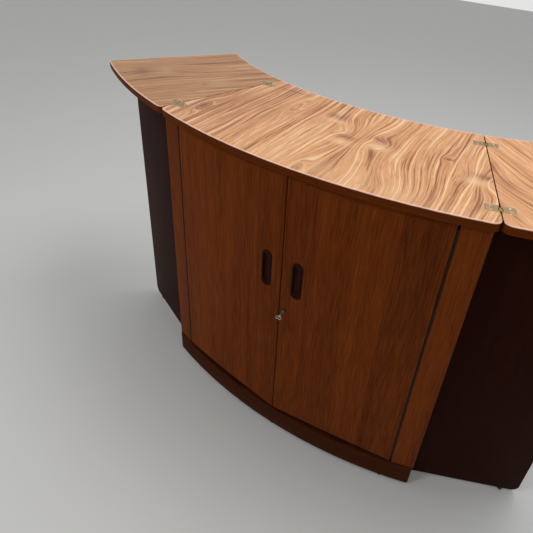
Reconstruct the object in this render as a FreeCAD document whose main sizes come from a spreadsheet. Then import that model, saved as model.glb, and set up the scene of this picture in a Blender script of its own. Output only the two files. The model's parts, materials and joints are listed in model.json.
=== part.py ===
"""Curved bar cabinet with two fold-over leaves, two swing-out gates and two doors.

The plan is drawn on one arc: every curved board is a piece of a ring round the same upright
axis.  A point is given by its station (the angle round that axis, 0 at the middle of the front,
positive to the right), its radius rho along the station and its offset x across the station.
The right-hand pieces are built and the left-hand ones are their mirror images.
"""
import os
import re

import FreeCAD
import Part

VEC = FreeCAD.Vector
UPRIGHT = VEC(0, 0, 1)
ACROSS = VEC(1, 0, 0)
DEEP = VEC(0, 1, 0)

doc = FreeCAD.newDocument("BarCabinet")

# Driving dimensions in millimetres and degrees.
SIZES = (
    # the top and its two leaves
    ("top_height", 950, "floor to the top of the laminate"),
    ("rear_radius", 1105, "rear edge of the top"),
    ("top_depth", 435, "top, front to back along a station"),
    ("seam_angle", 17.1, "station of the seam between the main top and a leaf"),
    ("leaf_sweep", 17.05, "angle that one leaf covers"),
    ("leaf_flare", 51, "centre of a leaf's front edge, off the arc's axis across the seam"),
    ("core_thickness", 20, "board under the laminate"),
    ("laminate_thickness", 1, "laminate on the top"),
    ("lipping_thickness", 3.2, "solid wood edge round the core"),
    ("seam_half_gap", 0.75, "half the gap at a seam"),
    ("seam_corner", 19, "round of the front corners at the seams"),
    ("small_corner", 6, "round of the other corners of the top"),
    # the case
    ("face_overhang", 8, "front edge of the top past the doors and stiles"),
    ("side_overhang", 9, "seam to the side of a stile"),
    ("side_recess", 22, "side of a stile to the side board"),
    ("board_thickness", 18, "case boards"),
    ("stile_depth", 35, "stile, front to back"),
    ("stile_corner", 6, "round of the stile's outer corner"),
    ("back_overhang", 45, "rear edge of the top past the curved back"),
    ("back_thickness", 9, "curved back"),
    ("plinth_top", 84, "height of the plinth's top edge"),
    ("plinth_bottom", 11, "height of the plinth's bottom edge"),
    ("plinth_proud", 3, "plinth in front of the doors"),
    ("plinth_depth", 25, "front plinth board, front to back"),
    ("plinth_setback", 3, "plinth end inside the stile's side"),
    ("plinth_corner", 8, "round of the plinth's outer corners"),
    ("bottom_gap", 2, "bottom board to the back of a door"),
    ("rail_gap", 6, "rail under the top to the back of a door"),
    ("rail_depth", 30, "rail, front to back"),
    ("rail_height", 30, "rail, up and down"),
    ("shelf_height", 430, "underside of the shelf"),
    ("shelf_setback", 17, "front edge of the shelf behind the stiles"),
    ("shelf_play", 1, "gap round the shelf"),
    ("peg_radius", 3, "shelf peg"),
    ("peg_length", 16, "shelf peg, half of it in the side board"),
    ("peg_inset", 60, "shelf peg from the shelf's front or back edge"),
    ("glide_radius", 8, "floor glide"),
    ("glide_angle", 13.5, "station of the outer floor glides"),
    # the doors
    ("door_angle", 14.25, "station of a door's hinge line"),
    ("door_thickness", 18, "door"),
    ("meeting_half_gap", 1.5, "half the gap between the doors"),
    ("door_gap", 3, "gap over and under a door"),
    ("door_lipping_width", 6, "solid wood strip on a door's meeting edge"),
    ("stop_offset", 20, "middle of the front to a door stop"),
    ("stop_width", 20, "door stop across"),
    ("stop_height", 15, "door stop, up and down"),
    ("stop_depth", 19, "door stop, front to back"),
    ("stop_gap", 3, "door stop to the back of a door"),
    # the pulls
    ("pull_angle", 1.72, "station of a pull"),
    ("pull_height", 630, "middle of a pull"),
    ("pull_length", 119, "pull, end to end"),
    ("pull_width", 32, "pull, side to side"),
    ("pull_rim", 3.5, "width of the pull's rim"),
    ("pull_rise", 1.8, "rim in front of the door"),
    ("pull_depth", 10, "cup behind the rim"),
    ("pull_wall", 2, "wall of the cup"),
    # the lock
    ("key_height", 512, "height of the key's axis"),
    ("key_offset", 15, "key's axis from the middle of the front"),
    ("key_shank_radius", 2, "shank of the key"),
    ("key_play", 0.05, "key in its bores"),
    ("key_reach", 30, "key in front of the door"),
    ("key_bow_thickness", 2.4, "bow of the key"),
    ("key_lobe_radius", 6, "each lobe of the bow"),
    ("key_lobe_spread", 5, "middle of a lobe from the key's axis"),
    ("key_lobe_hole", 3, "hole in each lobe"),
    ("key_bit_reach", 6.5, "bit from the key's axis"),
    ("key_bit_length", 5, "bit along the key"),
    ("escutcheon_radius", 8, "ring round the keyhole"),
    ("escutcheon_thickness", 2.5, "ring round the keyhole"),
    ("escutcheon_rise", 1.2, "ring in front of the door"),
    ("lock_length", 42.5, "lock case across the door"),
    ("lock_height", 45, "lock case, up and down"),
    ("lock_depth", 13, "lock case, front to back"),
    ("lock_sink", 2, "lock case let into the door"),
    ("lock_wall", 2, "wall of the lock case"),
    ("bolt_rise", 8, "underside of the bolt above the key's axis"),
    ("bolt_height", 10, "bolt, up and down"),
    ("bolt_depth", 6, "bolt, front to back"),
    ("bolt_length", 27.5, "bolt across the door"),
    ("bolt_play", 0.1, "bolt in the lock case"),
    ("keeper_length", 17.5, "keeper across the left door"),
    ("keeper_play", 1, "bolt in the keeper"),
    # strip hinges of the doors and gates
    ("knuckle_radius", 2.7, "knuckle of a strip hinge"),
    ("knuckle_clearance", 0.3, "knuckle to the board beside it"),
    ("knuckle_gap", 0.6, "gap between two knuckles"),
    ("knuckle_count", 5, "knuckles in a strip hinge"),
    ("strip_thickness", 1.2, "leaf of a strip hinge"),
    ("strip_width", 14, "leaf of a strip hinge"),
    ("strip_pin_radius", 1.2, "pin of a strip hinge"),
    ("strip_pin_play", 0.05, "pin in the moving knuckles"),
    ("strip_margin", 12, "end of a door or gate to its hinge"),
    ("knuckle_rise", 1.2, "door knuckle in front of the door"),
    # the gates
    ("gate_width", 312, "gate, hinge edge to free edge"),
    ("gate_thickness", 18, "gate"),
    ("gate_swing", 85, "angle from open to folded back"),
    ("gate_floor_gap", 15, "floor to a gate"),
    ("gate_top_gap", 1.5, "gate to the underside of a leaf"),
    ("gate_corner", 22, "round of a gate's lower outer corner"),
    ("gate_face_rise", 2, "face of a gate in front of its hinge axis"),
    ("gate_axis_inset", 3, "gate's hinge axis inside the stile's side"),
    ("gate_glide_radius", 7, "glide under a gate"),
    ("gate_glide_inset", 45, "glide from the gate's free edge"),
    ("gate_glide_gap", 1, "floor to the gate's glide"),
    ("block_inset", 30, "gate stop block from the gate's free edge"),
    ("block_length", 40, "gate stop block along the gate"),
    ("block_depth", 15, "gate stop block, front to back"),
    ("block_height", 12, "gate stop block, up and down"),
    ("block_play", 0.3, "gate stop block to the open gate"),
    # counter-flap hinges of the leaves
    ("flap_front_inset", 58, "middle of the front hinge from the front edge"),
    ("flap_rear_inset", 60, "middle of the rear hinge from the rear edge"),
    ("flap_plate_reach", 32, "hinge plate from the seam"),
    ("flap_plate_length", 28, "hinge plate along the seam"),
    ("flap_plate_thickness", 1.8, "hinge plate"),
    ("flap_plate_sink", 0.1, "hinge plate below the top"),
    ("flap_plate_corner", 3, "round of the plate's far corners"),
    ("flap_pin_offset", 3.2, "hinge pin from the seam"),
    ("flap_barrel_radius", 1.7, "barrel of the hinge"),
    ("flap_pin_radius", 0.8, "pin of the hinge"),
    ("flap_pin_play", 0.05, "pin in the plates"),
    ("flap_link_width", 14, "room for the link along the seam"),
    ("flap_link_play", 0.1, "link to the plate on each side"),
    ("flap_web", 2.4, "thickness of the link between its pins"),
    ("flap_pocket_play", 0.4, "board to the barrels"),
    ("screw_reach", 20, "flap hinge screw from the seam"),
    ("screw_spread", 8, "flap hinge screw from the middle of the plate"),
    ("screw_head_radius", 3.4, "countersunk head"),
    ("screw_neck_radius", 1.5, "small end of the head"),
)

# Sizes that follow from the driving ones.
DERIVED = {
    "front_radius": "rear_radius + top_depth",
    "face_radius": "front_radius - face_overhang",
    "back_radius": "rear_radius + back_overhang",
    "plinth_radius": "face_radius + plinth_proud",
    "bottom_front_radius": "door_back - bottom_gap",
    "rail_front_radius": "door_back - rail_gap",
    "shelf_front_radius": "stile_back - shelf_setback",
    "leaf_end": "seam_angle + leaf_sweep",
    "key_tip_radius": "face_radius + key_reach",
    "corner_radius": "rear_radius + small_corner",
    "corner_station": "leaf_end - asin(small_corner / corner_radius) / 1deg",
    "arc_centre_y": "(key_tip_radius + corner_radius * cos(corner_station) - small_corner) / 2",
    "laminate_bottom": "top_height - laminate_thickness",
    "top_underside": "laminate_bottom - core_thickness",
    "side_outer": "side_overhang + side_recess",
    "side_inner": "side_outer + board_thickness",
    "stile_back": "face_radius - stile_depth",
    "back_inner": "back_radius + back_thickness",
    "door_bottom": "plinth_top + door_gap",
    "door_top": "top_underside - door_gap",
    "door_back": "face_radius - door_thickness",
    "wood_offset": "knuckle_radius + knuckle_clearance",
    "door_axis_radius": "face_radius + knuckle_rise - knuckle_radius",
    "gate_axis_offset": "side_overhang + gate_axis_inset",
    "gate_axis_radius": "stile_back - wood_offset",
    "gate_turn": "90 - gate_swing",
    "gate_free_edge": "wood_offset + gate_width",
    "gate_top": "top_underside - gate_top_gap",
    "stop_front": "door_back - stop_gap",
    "lock_front": "door_back + lock_sink",
    "lock_back": "lock_front - lock_depth",
    "lock_bottom": "key_height - lock_height / 2",
    "lock_top": "key_height + lock_height / 2",
    "bolt_bottom": "key_height + bolt_rise",
    "bolt_top": "bolt_bottom + bolt_height",
    "bolt_back": "lock_back + lock_wall + 1",
    "bolt_front": "bolt_back + bolt_depth",
    "lock_edge": "meeting_half_gap + 1",
    "plate_top": "top_height - flap_plate_sink",
    "plate_bottom": "plate_top - flap_plate_thickness",
    "flap_pin_height": "plate_top - flap_barrel_radius",
    "front_flap": "front_radius - flap_front_inset",
    "rear_flap": "rear_radius + flap_rear_inset",
}

sheet = doc.addObject("Spreadsheet::Sheet", "Sizes")
for row, (alias, amount, meaning) in enumerate(SIZES, start=1):
    sheet.set(f"A{row}", meaning)
    sheet.set(f"B{row}", str(amount))
    sheet.setAlias(f"B{row}", alias)
doc.recompute()
DRIVING = {alias for alias, _, _ in SIZES}


# ---------------------------------------------------------------- expressions

def full(text):
    """An expression in the sheet's names, with the derived sizes written out."""
    def swap(match):
        word = match.group(0)
        if word in DERIVED:
            return "(" + full(DERIVED[word]) + ")"
        return "Sizes." + word if word in DRIVING else word
    return re.sub(r"[A-Za-z_][A-Za-z_0-9]*", swap, text)


def bind(obj, name, text):
    obj.setExpression(name, full(text))


def number(text):
    return float(sheet.evalExpression(full(text)))


# ---------------------------------------------------------------- primitives

def place(obj, x="0", rho="0", z="0", station="0", turn="0"):
    """Put an object's origin at a point of the plan and turn it with its station."""
    obj.Placement = FreeCAD.Placement(VEC(), FreeCAD.Rotation(UPRIGHT, 1))
    bind(obj, "Placement.Base.x", f"({x}) * cos({station}) + ({rho}) * sin({station})")
    bind(obj, "Placement.Base.y",
         f"arc_centre_y + ({x}) * sin({station}) - ({rho}) * cos({station})")
    bind(obj, "Placement.Base.z", z)
    bind(obj, "Placement.Rotation.Angle", f"({station}) + ({turn})")
    return obj


def swing(obj, station):
    """Turn a finished object round the arc's axis to its station."""
    obj.Placement = FreeCAD.Placement(VEC(), FreeCAD.Rotation(UPRIGHT, 1))
    bind(obj, "Placement.Base.x", f"arc_centre_y * sin({station})")
    bind(obj, "Placement.Base.y", f"arc_centre_y * (1 - cos({station}))")
    bind(obj, "Placement.Rotation.Angle", station)
    return obj


def box(name, across, radii, heights, station="0"):
    """A box across a station: (x0, x1), (rho0, rho1), (z0, z1)."""
    obj = doc.addObject("Part::Box", name)
    bind(obj, "Length", f"({across[1]}) - ({across[0]})")
    bind(obj, "Width", f"({radii[1]}) - ({radii[0]})")
    bind(obj, "Height", f"({heights[1]}) - ({heights[0]})")
    return place(obj, across[0], radii[1], heights[0], station)


def post(name, radius, heights, x="0", rho="0", station="0"):
    """An upright cylinder."""
    obj = doc.addObject("Part::Cylinder", name)
    bind(obj, "Radius", radius)
    bind(obj, "Height", f"({heights[1]}) - ({heights[0]})")
    return place(obj, x, rho, heights[0], station)


def rod(name, radius, x, radii, z):
    """A cylinder that points forward at station 0."""
    obj = doc.addObject("Part::Cylinder", name)
    bind(obj, "Radius", radius)
    bind(obj, "Height", f"({radii[1]}) - ({radii[0]})")
    obj.Placement = FreeCAD.Placement(VEC(), FreeCAD.Rotation(ACROSS, 90))
    bind(obj, "Placement.Base.x", x)
    bind(obj, "Placement.Base.y", f"arc_centre_y - ({radii[0]})")
    bind(obj, "Placement.Base.z", z)
    return obj


def dowel(name, radius, across, rho, z):
    """A cylinder that points to the right at station 0."""
    obj = doc.addObject("Part::Cylinder", name)
    bind(obj, "Radius", radius)
    bind(obj, "Height", f"({across[1]}) - ({across[0]})")
    obj.Placement = FreeCAD.Placement(VEC(), FreeCAD.Rotation(DEEP, 90))
    bind(obj, "Placement.Base.x", across[0])
    bind(obj, "Placement.Base.y", f"arc_centre_y - ({rho})")
    bind(obj, "Placement.Base.z", z)
    return obj


def local_box(name, xs, ys, zs):
    """A box in the frame of a hinge axis."""
    obj = doc.addObject("Part::Box", name)
    for size, base, (low, high) in (("Length", "x", xs), ("Width", "y", ys), ("Height", "z", zs)):
        bind(obj, size, f"({high}) - ({low})")
        bind(obj, f"Placement.Base.{base}", low)
    return obj


def local_post(name, radius, zs, x="0", y="0"):
    """An upright cylinder in the frame of a hinge axis."""
    obj = doc.addObject("Part::Cylinder", name)
    bind(obj, "Radius", radius)
    bind(obj, "Height", f"({zs[1]}) - ({zs[0]})")
    bind(obj, "Placement.Base.x", x)
    bind(obj, "Placement.Base.y", y)
    bind(obj, "Placement.Base.z", zs[0])
    return obj


# ---------------------------------------------------------------- combining

def fuse(name, *pieces):
    obj = doc.addObject("Part::MultiFuse", name)
    obj.Shapes = list(pieces)
    return obj


def group(name, *pieces):
    """Several identical fixings or fittings kept as one sub-part."""
    obj = doc.addObject("Part::Compound", name)
    obj.Links = list(pieces)
    return obj


def cut(name, base, *tools):
    obj = doc.addObject("Part::Cut", name)
    obj.Base = base
    obj.Tool = tools[0] if len(tools) == 1 else fuse(name + "_tools", *tools)
    return obj


def common(name, first, second):
    obj = doc.addObject("Part::Common", name)
    obj.Base = first
    obj.Tool = second
    return obj


def mirrored(name, source):
    """The left-hand twin of a right-hand piece."""
    obj = doc.addObject("Part::Mirroring", name)
    obj.Source = source
    obj.Normal = ACROSS
    return obj


def ring(name, outer, inner, heights, flare=()):
    """A ring; a flare moves its outer centre off the axis: (distance across, station)."""
    across, station = flare or ("0", "0")
    return cut(name, post(name + "_outer", outer, heights, across, "0", station),
               post(name + "_inner", inner, heights))


def sector(name, outer, inner, low, high, heights, flare=()):
    """A piece of a ring between two side planes, each (station, inset parallel to it)."""
    (a0, d0), (a1, d1) = low, high
    wedge = doc.addObject("Part::Cylinder", name + "_wedge")
    bind(wedge, "Radius", "2 * front_radius")
    bind(wedge, "Height", f"({heights[1]}) - ({heights[0]})")
    bind(wedge, "Angle", f"({a1}) - ({a0})")
    wedge.Placement = FreeCAD.Placement(VEC(), FreeCAD.Rotation(UPRIGHT, 1))
    spread = f"sin(({a1}) - ({a0}))"
    bind(wedge, "Placement.Base.x", f"(({d0}) * sin({a1}) + ({d1}) * sin({a0})) / {spread}")
    bind(wedge, "Placement.Base.y",
         f"arc_centre_y - (({d1}) * cos({a0}) + ({d0}) * cos({a1})) / {spread}")
    bind(wedge, "Placement.Base.z", heights[0])
    bind(wedge, "Placement.Rotation.Angle", f"({a0}) - 90")
    return common(name, ring(name + "_ring", outer, inner, heights, flare), wedge)


def plan_point(x, rho, z, station):
    """The position of a point of the plan, for choosing an edge."""
    turn = FreeCAD.Rotation(UPRIGHT, number(station))
    return VEC(0, number("arc_centre_y"), 0) + turn.multVec(VEC(number(x), -number(rho), number(z)))


def nearest_edge(shape, point):
    """The name of the edge whose middle is nearest to a point."""
    order = sorted(range(len(shape.Edges)),
                   key=lambda i: (shape.Edges[i].CenterOfMass - point).Length)
    return f"Edge{order[0] + 1}"


def rounded(name, base, *rounds):
    """A body on a base piece, with its named edges rounded: (radius, [points])."""
    body = doc.addObject("PartDesign::Body", name)
    body.BaseFeature = base if base.TypeId != "Part::Box" else group(name + "_base", base)
    doc.recompute()
    feature = body.Group[0]
    for radius, points in rounds:
        fillet = body.newObject("PartDesign::Fillet", name + "_round")
        fillet.Base = (feature, [nearest_edge(feature.Shape, point) for point in points])
        bind(fillet, "Radius", radius)
        doc.recompute()
        feature = fillet
    body.Tip = feature
    return body


# ---------------------------------------------------------------- flap hinges

FLAPS = (("front", "front_flap"), ("rear", "rear_flap"))


def span(side, low, high):
    """An interval across the seam, on the leaf's side (1) or the main top's (-1)."""
    return (low, high) if side > 0 else (f"-({high})", f"-({low})")


def flap_length(rho, share="flap_plate_length / 2"):
    return (f"{rho} - ({share})", f"{rho} + ({share})")


def flap_plate(name, side, rho):
    """One plate: a flat with two knuckles, a notch for the link and two countersunk holes."""
    sign = "1" if side > 0 else "-1"
    blank = box(name + "_blank", span(side, "flap_pin_offset", "flap_plate_reach"),
                flap_length(rho), ("plate_bottom", "plate_top"))
    middle = "(plate_bottom + plate_top) / 2"
    far = f"{sign} * flap_plate_reach"
    flat = rounded(name + "_flat", blank,
                   ("flap_plate_corner", [plan_point(far, end, middle, "0")
                                          for end in flap_length(rho)]))
    pin_x = f"{sign} * flap_pin_offset"
    barrel = rod(name + "_barrel", "flap_barrel_radius", pin_x, flap_length(rho), "flap_pin_height")
    notch = box(name + "_notch",
                span(side, "flap_pin_offset - flap_barrel_radius - flap_pocket_play",
                     "flap_pin_offset + flap_barrel_radius + flap_pocket_play"),
                flap_length(rho, "flap_link_width / 2"),
                ("flap_pin_height - 2 * flap_barrel_radius", "top_height"))
    bore = rod(name + "_bore", "flap_pin_radius + flap_pin_play", pin_x,
               flap_length(rho, "flap_plate_length"), "flap_pin_height")
    sinks = [screw_head(f"{name}_sink{i}", side, rho, i) for i in (-1, 1)]
    return swing(cut(name, fuse(name + "_body", flat, barrel), notch, bore, *sinks), "seam_angle")


def screw_head(name, side, rho, end):
    """A countersunk head, and the sink that it fills."""
    cone = doc.addObject("Part::Cone", name)
    bind(cone, "Radius1", "screw_neck_radius")
    bind(cone, "Radius2", "screw_head_radius")
    bind(cone, "Height", "flap_plate_thickness")
    return place(cone, f"{side} * screw_reach", f"{rho} + {end} * screw_spread", "plate_bottom")


def flap_screws(name, side):
    """The four screws of one side of a seam."""
    screws = [screw_head(f"{name}_{tag}{end + 1}", side, rho, end)
              for tag, rho in FLAPS for end in (-1, 1)]
    return swing(group(name, *screws), "seam_angle")


def flap_mortise(name, side):
    """What the hinges take out of a board on one side of a seam."""
    cuts = []
    for tag, rho in FLAPS:
        label = f"{name}_{tag}"
        above = "top_height + laminate_thickness"
        bed = box(label + "_bed", span(side, "-seam_half_gap", "flap_plate_reach"),
                  flap_length(rho), ("plate_bottom", above))
        middle = f"(plate_bottom + {above}) / 2"
        far = f"{side} * flap_plate_reach"
        cuts.append(rounded(label + "_shape", bed,
                            ("flap_plate_corner", [plan_point(far, end, middle, "0")
                                                   for end in flap_length(rho)])))
        pocket = "flap_pin_offset + flap_barrel_radius + flap_pocket_play"
        floor = "flap_pin_height - flap_barrel_radius - flap_pocket_play"
        cuts.append(box(label + "_pocket", span(side, "-seam_half_gap", pocket),
                        flap_length(rho, "flap_plate_length / 2 + flap_pocket_play"),
                        (floor, above)))
    return swing(fuse(name, *cuts), "seam_angle")


def flap_link(name, rho):
    """The link between two pins; its pins turn in both plates."""
    body_ends = flap_length(rho, "flap_link_width / 2 - flap_link_play")
    web = box(name + "_web", ("-flap_pin_offset", "flap_pin_offset"), body_ends,
              ("flap_pin_height - flap_web / 2", "flap_pin_height + flap_web / 2"))
    rods = []
    for tag, x in (("near", "-flap_pin_offset"), ("far", "flap_pin_offset")):
        rods.append(rod(f"{name}_{tag}_eye", "flap_barrel_radius", x, body_ends,
                        "flap_pin_height"))
        rods.append(rod(f"{name}_{tag}_pin", "flap_pin_radius", x, flap_length(rho),
                        "flap_pin_height"))
    return fuse(name, web, *rods)


# ---------------------------------------------------------------- the top

def top_outline(name, inset, heights, low, high, seams, flare):
    """The plan of one piece of the top, shrunk all round by an inset, its corners rounded."""
    (a0, d0), (a1, d1) = low, high
    middle = f"(({heights[0]}) + ({heights[1]})) / 2"
    blank = sector(name + "_blank", f"front_radius - {inset}", f"rear_radius + {inset}",
                   (a0, f"{d0} + {inset}"), (a1, f"{d1} + {inset}"), heights, flare)
    corner = {"low": (f"{d0} + {inset}", a0), "high": (f"-({d1} + {inset})", a1)}
    big = [plan_point(corner[end][0], f"front_radius - {inset}", middle, corner[end][1])
           for end in seams]
    small = [plan_point(corner[end][0], f"front_radius - {inset}", middle, corner[end][1])
             for end in corner if end not in seams]
    small += [plan_point(corner[end][0], f"rear_radius + {inset}", middle, corner[end][1])
              for end in corner]
    return rounded(name, blank, (f"seam_corner - {inset}", big), (f"small_corner - {inset}", small))


def top_piece(prefix, low, high, seams, mortises, flare=()):
    """Laminate, lipping and core of one piece of the top."""
    board = ("top_underside", "laminate_bottom")
    skin = ("laminate_bottom", "top_height")
    laminate = top_outline(prefix + "_laminate_plan", "0", skin, low, high, seams, flare)
    outer = top_outline(prefix + "_lipping_plan", "0", board, low, high, seams, flare)
    inner = top_outline(prefix + "_core_plan", "lipping_thickness", board, low, high, seams, flare)
    cut(prefix + "_laminate", laminate, *mortises)
    cut(prefix + "_lipping", outer, inner, *mortises)
    cut(prefix + "_core", inner, *mortises)


mortise_main = flap_mortise("mortise_main", -1)
mortise_leaf = flap_mortise("mortise_leaf", 1)
doc.recompute()
top_piece("main_top", ("-seam_angle", "seam_half_gap"), ("seam_angle", "seam_half_gap"),
          ("low", "high"), (mortise_main, mirrored("mortise_main_left", mortise_main)))
top_piece("leaf_right", ("seam_angle", "seam_half_gap"), ("leaf_end", "0"), ("low",),
          (mortise_leaf,), ("leaf_flare", "seam_angle"))
for layer in ("core", "lipping", "laminate"):
    mirrored(f"leaf_left_{layer}", doc.getObject(f"leaf_right_{layer}"))

main_plates = [flap_plate(f"main_plate_{tag}", -1, rho) for tag, rho in FLAPS]
group("flap_plates_main", *main_plates,
      *(mirrored(plate.Name + "_left", plate) for plate in main_plates))
main_screws = flap_screws("main_screws_right", -1)
group("flap_screws_main", main_screws, mirrored("main_screws_left", main_screws))
leaf_plates = group("flap_plates_leaf_right",
                    *(flap_plate(f"leaf_plate_{tag}", 1, rho) for tag, rho in FLAPS))
mirrored("flap_plates_leaf_left", leaf_plates)
mirrored("flap_screws_leaf_left", flap_screws("flap_screws_leaf_right", 1))
links = group("flap_links_right", *(flap_link(f"flap_link_{tag}", rho) for tag, rho in FLAPS))
mirrored("flap_links_left", swing(links, "seam_angle"))


# ---------------------------------------------------------------- strip hinges

def strip_leaf(name, side, moving, heights):
    """A leaf of a strip hinge in the frame of its axis; the board is on the side given."""
    count = int(number("knuckle_count"))
    pitch = f"((({heights[1]}) - ({heights[0]})) / knuckle_count)"
    faces = span(side, "wood_offset - strip_thickness", "wood_offset")
    strip = local_box(name + "_strip", faces, ("0", "strip_width"), heights)
    knuckles, notches = [], []
    for i in range(count):
        low, high = f"({heights[0]}) + {i} * {pitch}", f"({heights[0]}) + {i + 1} * {pitch}"
        if bool(i % 2) == moving:
            knuckles.append(local_post(f"{name}_knuckle{i}", "knuckle_radius",
                                       (f"{low} + knuckle_gap / 2", f"{high} - knuckle_gap / 2")))
        else:
            notches.append(local_box(f"{name}_notch{i}", faces, ("-1", "wood_offset"),
                                     (low, high)))
    bore_radius = "strip_pin_radius + strip_pin_play" if moving else "strip_pin_radius"
    bore = local_post(name + "_bore", bore_radius, heights)
    body = fuse(name + "_body", cut(name + "_notched", strip, *notches), *knuckles)
    return cut(name, body, bore)


def strip_pin(name, heights):
    return local_post(name, "strip_pin_radius", heights)


# ---------------------------------------------------------------- the case

stile_raw = sector("stile_blank", "face_radius", "stile_back - board_thickness",
                   ("door_angle", "wood_offset"), ("seam_angle", "side_overhang"),
                   ("plinth_top", "top_underside"))
stile_flat = cut("stile_flat", stile_raw,
                 box("stile_relief", ("-side_inner - 4 * board_thickness", "0"),
                     ("stile_back - 2 * board_thickness", "stile_back"),
                     ("plinth_top", "top_underside"), "seam_angle"))
half_height = "(plinth_top + top_underside) / 2"
stile_right = rounded("stile_right", stile_flat,
                      ("stile_corner", [plan_point("-side_overhang", "face_radius", half_height,
                                                   "seam_angle")]))
stile_left = mirrored("stile_left", stile_right)


def side_board(name, heights, front, station="seam_angle"):
    """A flat board along the seam's direction, its ends on two arcs or a flat."""
    blank = box(name + "_blank", ("-side_inner", "-side_outer"),
                ("back_radius - board_thickness", front), heights, station)
    return cut(name + "_board", blank, post(name + "_rear", "back_inner", heights))


side_blank = side_board("side", ("plinth_top", "top_underside"), "stile_back")
PEGS = (("front", "shelf_front_radius - peg_inset"), ("rear", "back_inner + peg_inset"))
pegs = [dowel(f"peg_{tag}", "peg_radius",
              ("-side_inner - peg_length / 2", "-side_inner + peg_length / 2"),
              rho, "shelf_height - peg_radius") for tag, rho in PEGS]
pegs_right = swing(group("pegs_right", *pegs), "seam_angle")
side_right = cut("side_right", side_blank, pegs_right)
mirrored("side_left", side_right)
group("shelf_pegs", pegs_right, mirrored("pegs_left", pegs_right))

inner_planes = (("-seam_angle", "side_inner"), ("seam_angle", "side_inner"))
outer_planes = (("-seam_angle", "side_outer"), ("seam_angle", "side_outer"))
sector("back_panel", "back_inner", "back_radius", *outer_planes, ("plinth_top", "top_underside"))
floor_board = sector("bottom_blank", "bottom_front_radius", "back_inner", *inner_planes,
                     ("plinth_top", "plinth_top + board_thickness"))
cut("bottom_board", floor_board, stile_right, stile_left)
shelf_planes = (("-seam_angle", "side_inner + shelf_play"), ("seam_angle", "side_inner + shelf_play"))
sector("inner_shelf", "shelf_front_radius", "back_inner + shelf_play", *shelf_planes,
       ("shelf_height", "shelf_height + board_thickness"))
rail_blank = sector("rail_blank", "rail_front_radius", "rail_front_radius - rail_depth",
                    *inner_planes, ("top_underside - rail_height", "top_underside"))
cut("front_rail", rail_blank, stile_right, stile_left)

plinth = ("plinth_bottom", "plinth_top")
plinth_planes = (("-seam_angle", "side_overhang + plinth_setback"),
                 ("seam_angle", "side_overhang + plinth_setback"))
plinth_blank = sector("plinth_blank", "plinth_radius", "plinth_radius - plinth_depth",
                      *plinth_planes, plinth)
plinth_middle = "(plinth_bottom + plinth_top) / 2"
rounded("plinth_front", plinth_blank,
        ("plinth_corner", [plan_point(f"{-s} * (side_overhang + plinth_setback)", "plinth_radius",
                                      plinth_middle, f"{s} * seam_angle") for s in (-1, 1)]))
plinth_side = common("plinth_side", side_board("plinth_side", plinth, "plinth_radius"),
                     post("plinth_side_front", "plinth_radius - plinth_depth", plinth))
group("plinth_sides", plinth_side, mirrored("plinth_side_left", plinth_side))
sector("plinth_back", "back_inner + board_thickness", "back_inner", *inner_planes, plinth)
glides = []
for row, rho in (("front", "plinth_radius - plinth_depth / 2"),
                 ("rear", "back_inner + board_thickness / 2")):
    for side in (-1, 0, 1):
        glides.append(post(f"glide_{row}{side + 1}", "glide_radius", ("0", "plinth_bottom"),
                           "0", rho, f"{side} * glide_angle"))
group("floor_glides", *glides)

stops = [box(f"stop_{tag}", ends, ("stop_front - stop_depth", "stop_front"),
             ("top_underside - rail_height - stop_height", "top_underside - rail_height"))
         for tag, ends in (("right", span(1, "stop_offset", "stop_offset + stop_width")),
                           ("left", span(-1, "stop_offset", "stop_offset + stop_width")))]
group("door_stops", *stops)

# ---------------------------------------------------------------- the doors

door_heights = ("door_bottom", "door_top")


def stadium(name, width, length, radii):
    """An upright slot shape that points forward at station 0, centred on the pull's height."""
    half = f"({width}) / 2"
    reach = f"({length}) / 2 - {half}"
    middle = box(name + "_middle", (f"-{half}", half), radii,
                 (f"pull_height - ({reach})", f"pull_height + ({reach})"))
    ends = [rod(f"{name}_end{tag}", half, "0", radii, f"pull_height {sign} ({reach})")
            for tag, sign in (("a", "-"), ("b", "+"))]
    return fuse(name, middle, *ends)


cup_width, cup_length = "pull_width - 2 * pull_rim", "pull_length - 2 * pull_rim"
cup_radii = ("face_radius - pull_depth", "face_radius")
pull_rim = stadium("pull_flange", "pull_width", "pull_length",
                   ("face_radius", "face_radius + pull_rise"))
pull_cup = stadium("pull_cup", cup_width, cup_length, cup_radii)
pull_hollow = stadium("pull_hollow", f"{cup_width} - 2 * pull_wall", f"{cup_length} - 2 * pull_wall",
                      ("face_radius - pull_depth + pull_wall", "face_radius + pull_rise"))
pull_right = swing(cut("pull_right", fuse("pull_body", pull_rim, pull_cup), pull_hollow),
                   "pull_angle")
mirrored("pull_left", pull_right)
pull_pocket = swing(stadium("pull_pocket", cup_width, cup_length,
                            (cup_radii[0], "face_radius + pull_rise")), "pull_angle")

panel = sector("door_blank", "face_radius", "door_back",
               ("0", "meeting_half_gap + door_lipping_width"), ("door_angle", "wood_offset"),
               door_heights)
lipping = cut("door_lipping",
              sector("door_lipping_blank", "face_radius", "door_back", ("0", "meeting_half_gap"),
                     ("door_angle", "wood_offset"), door_heights),
              panel)
door_plain = cut("door_plain", panel, pull_pocket)

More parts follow.
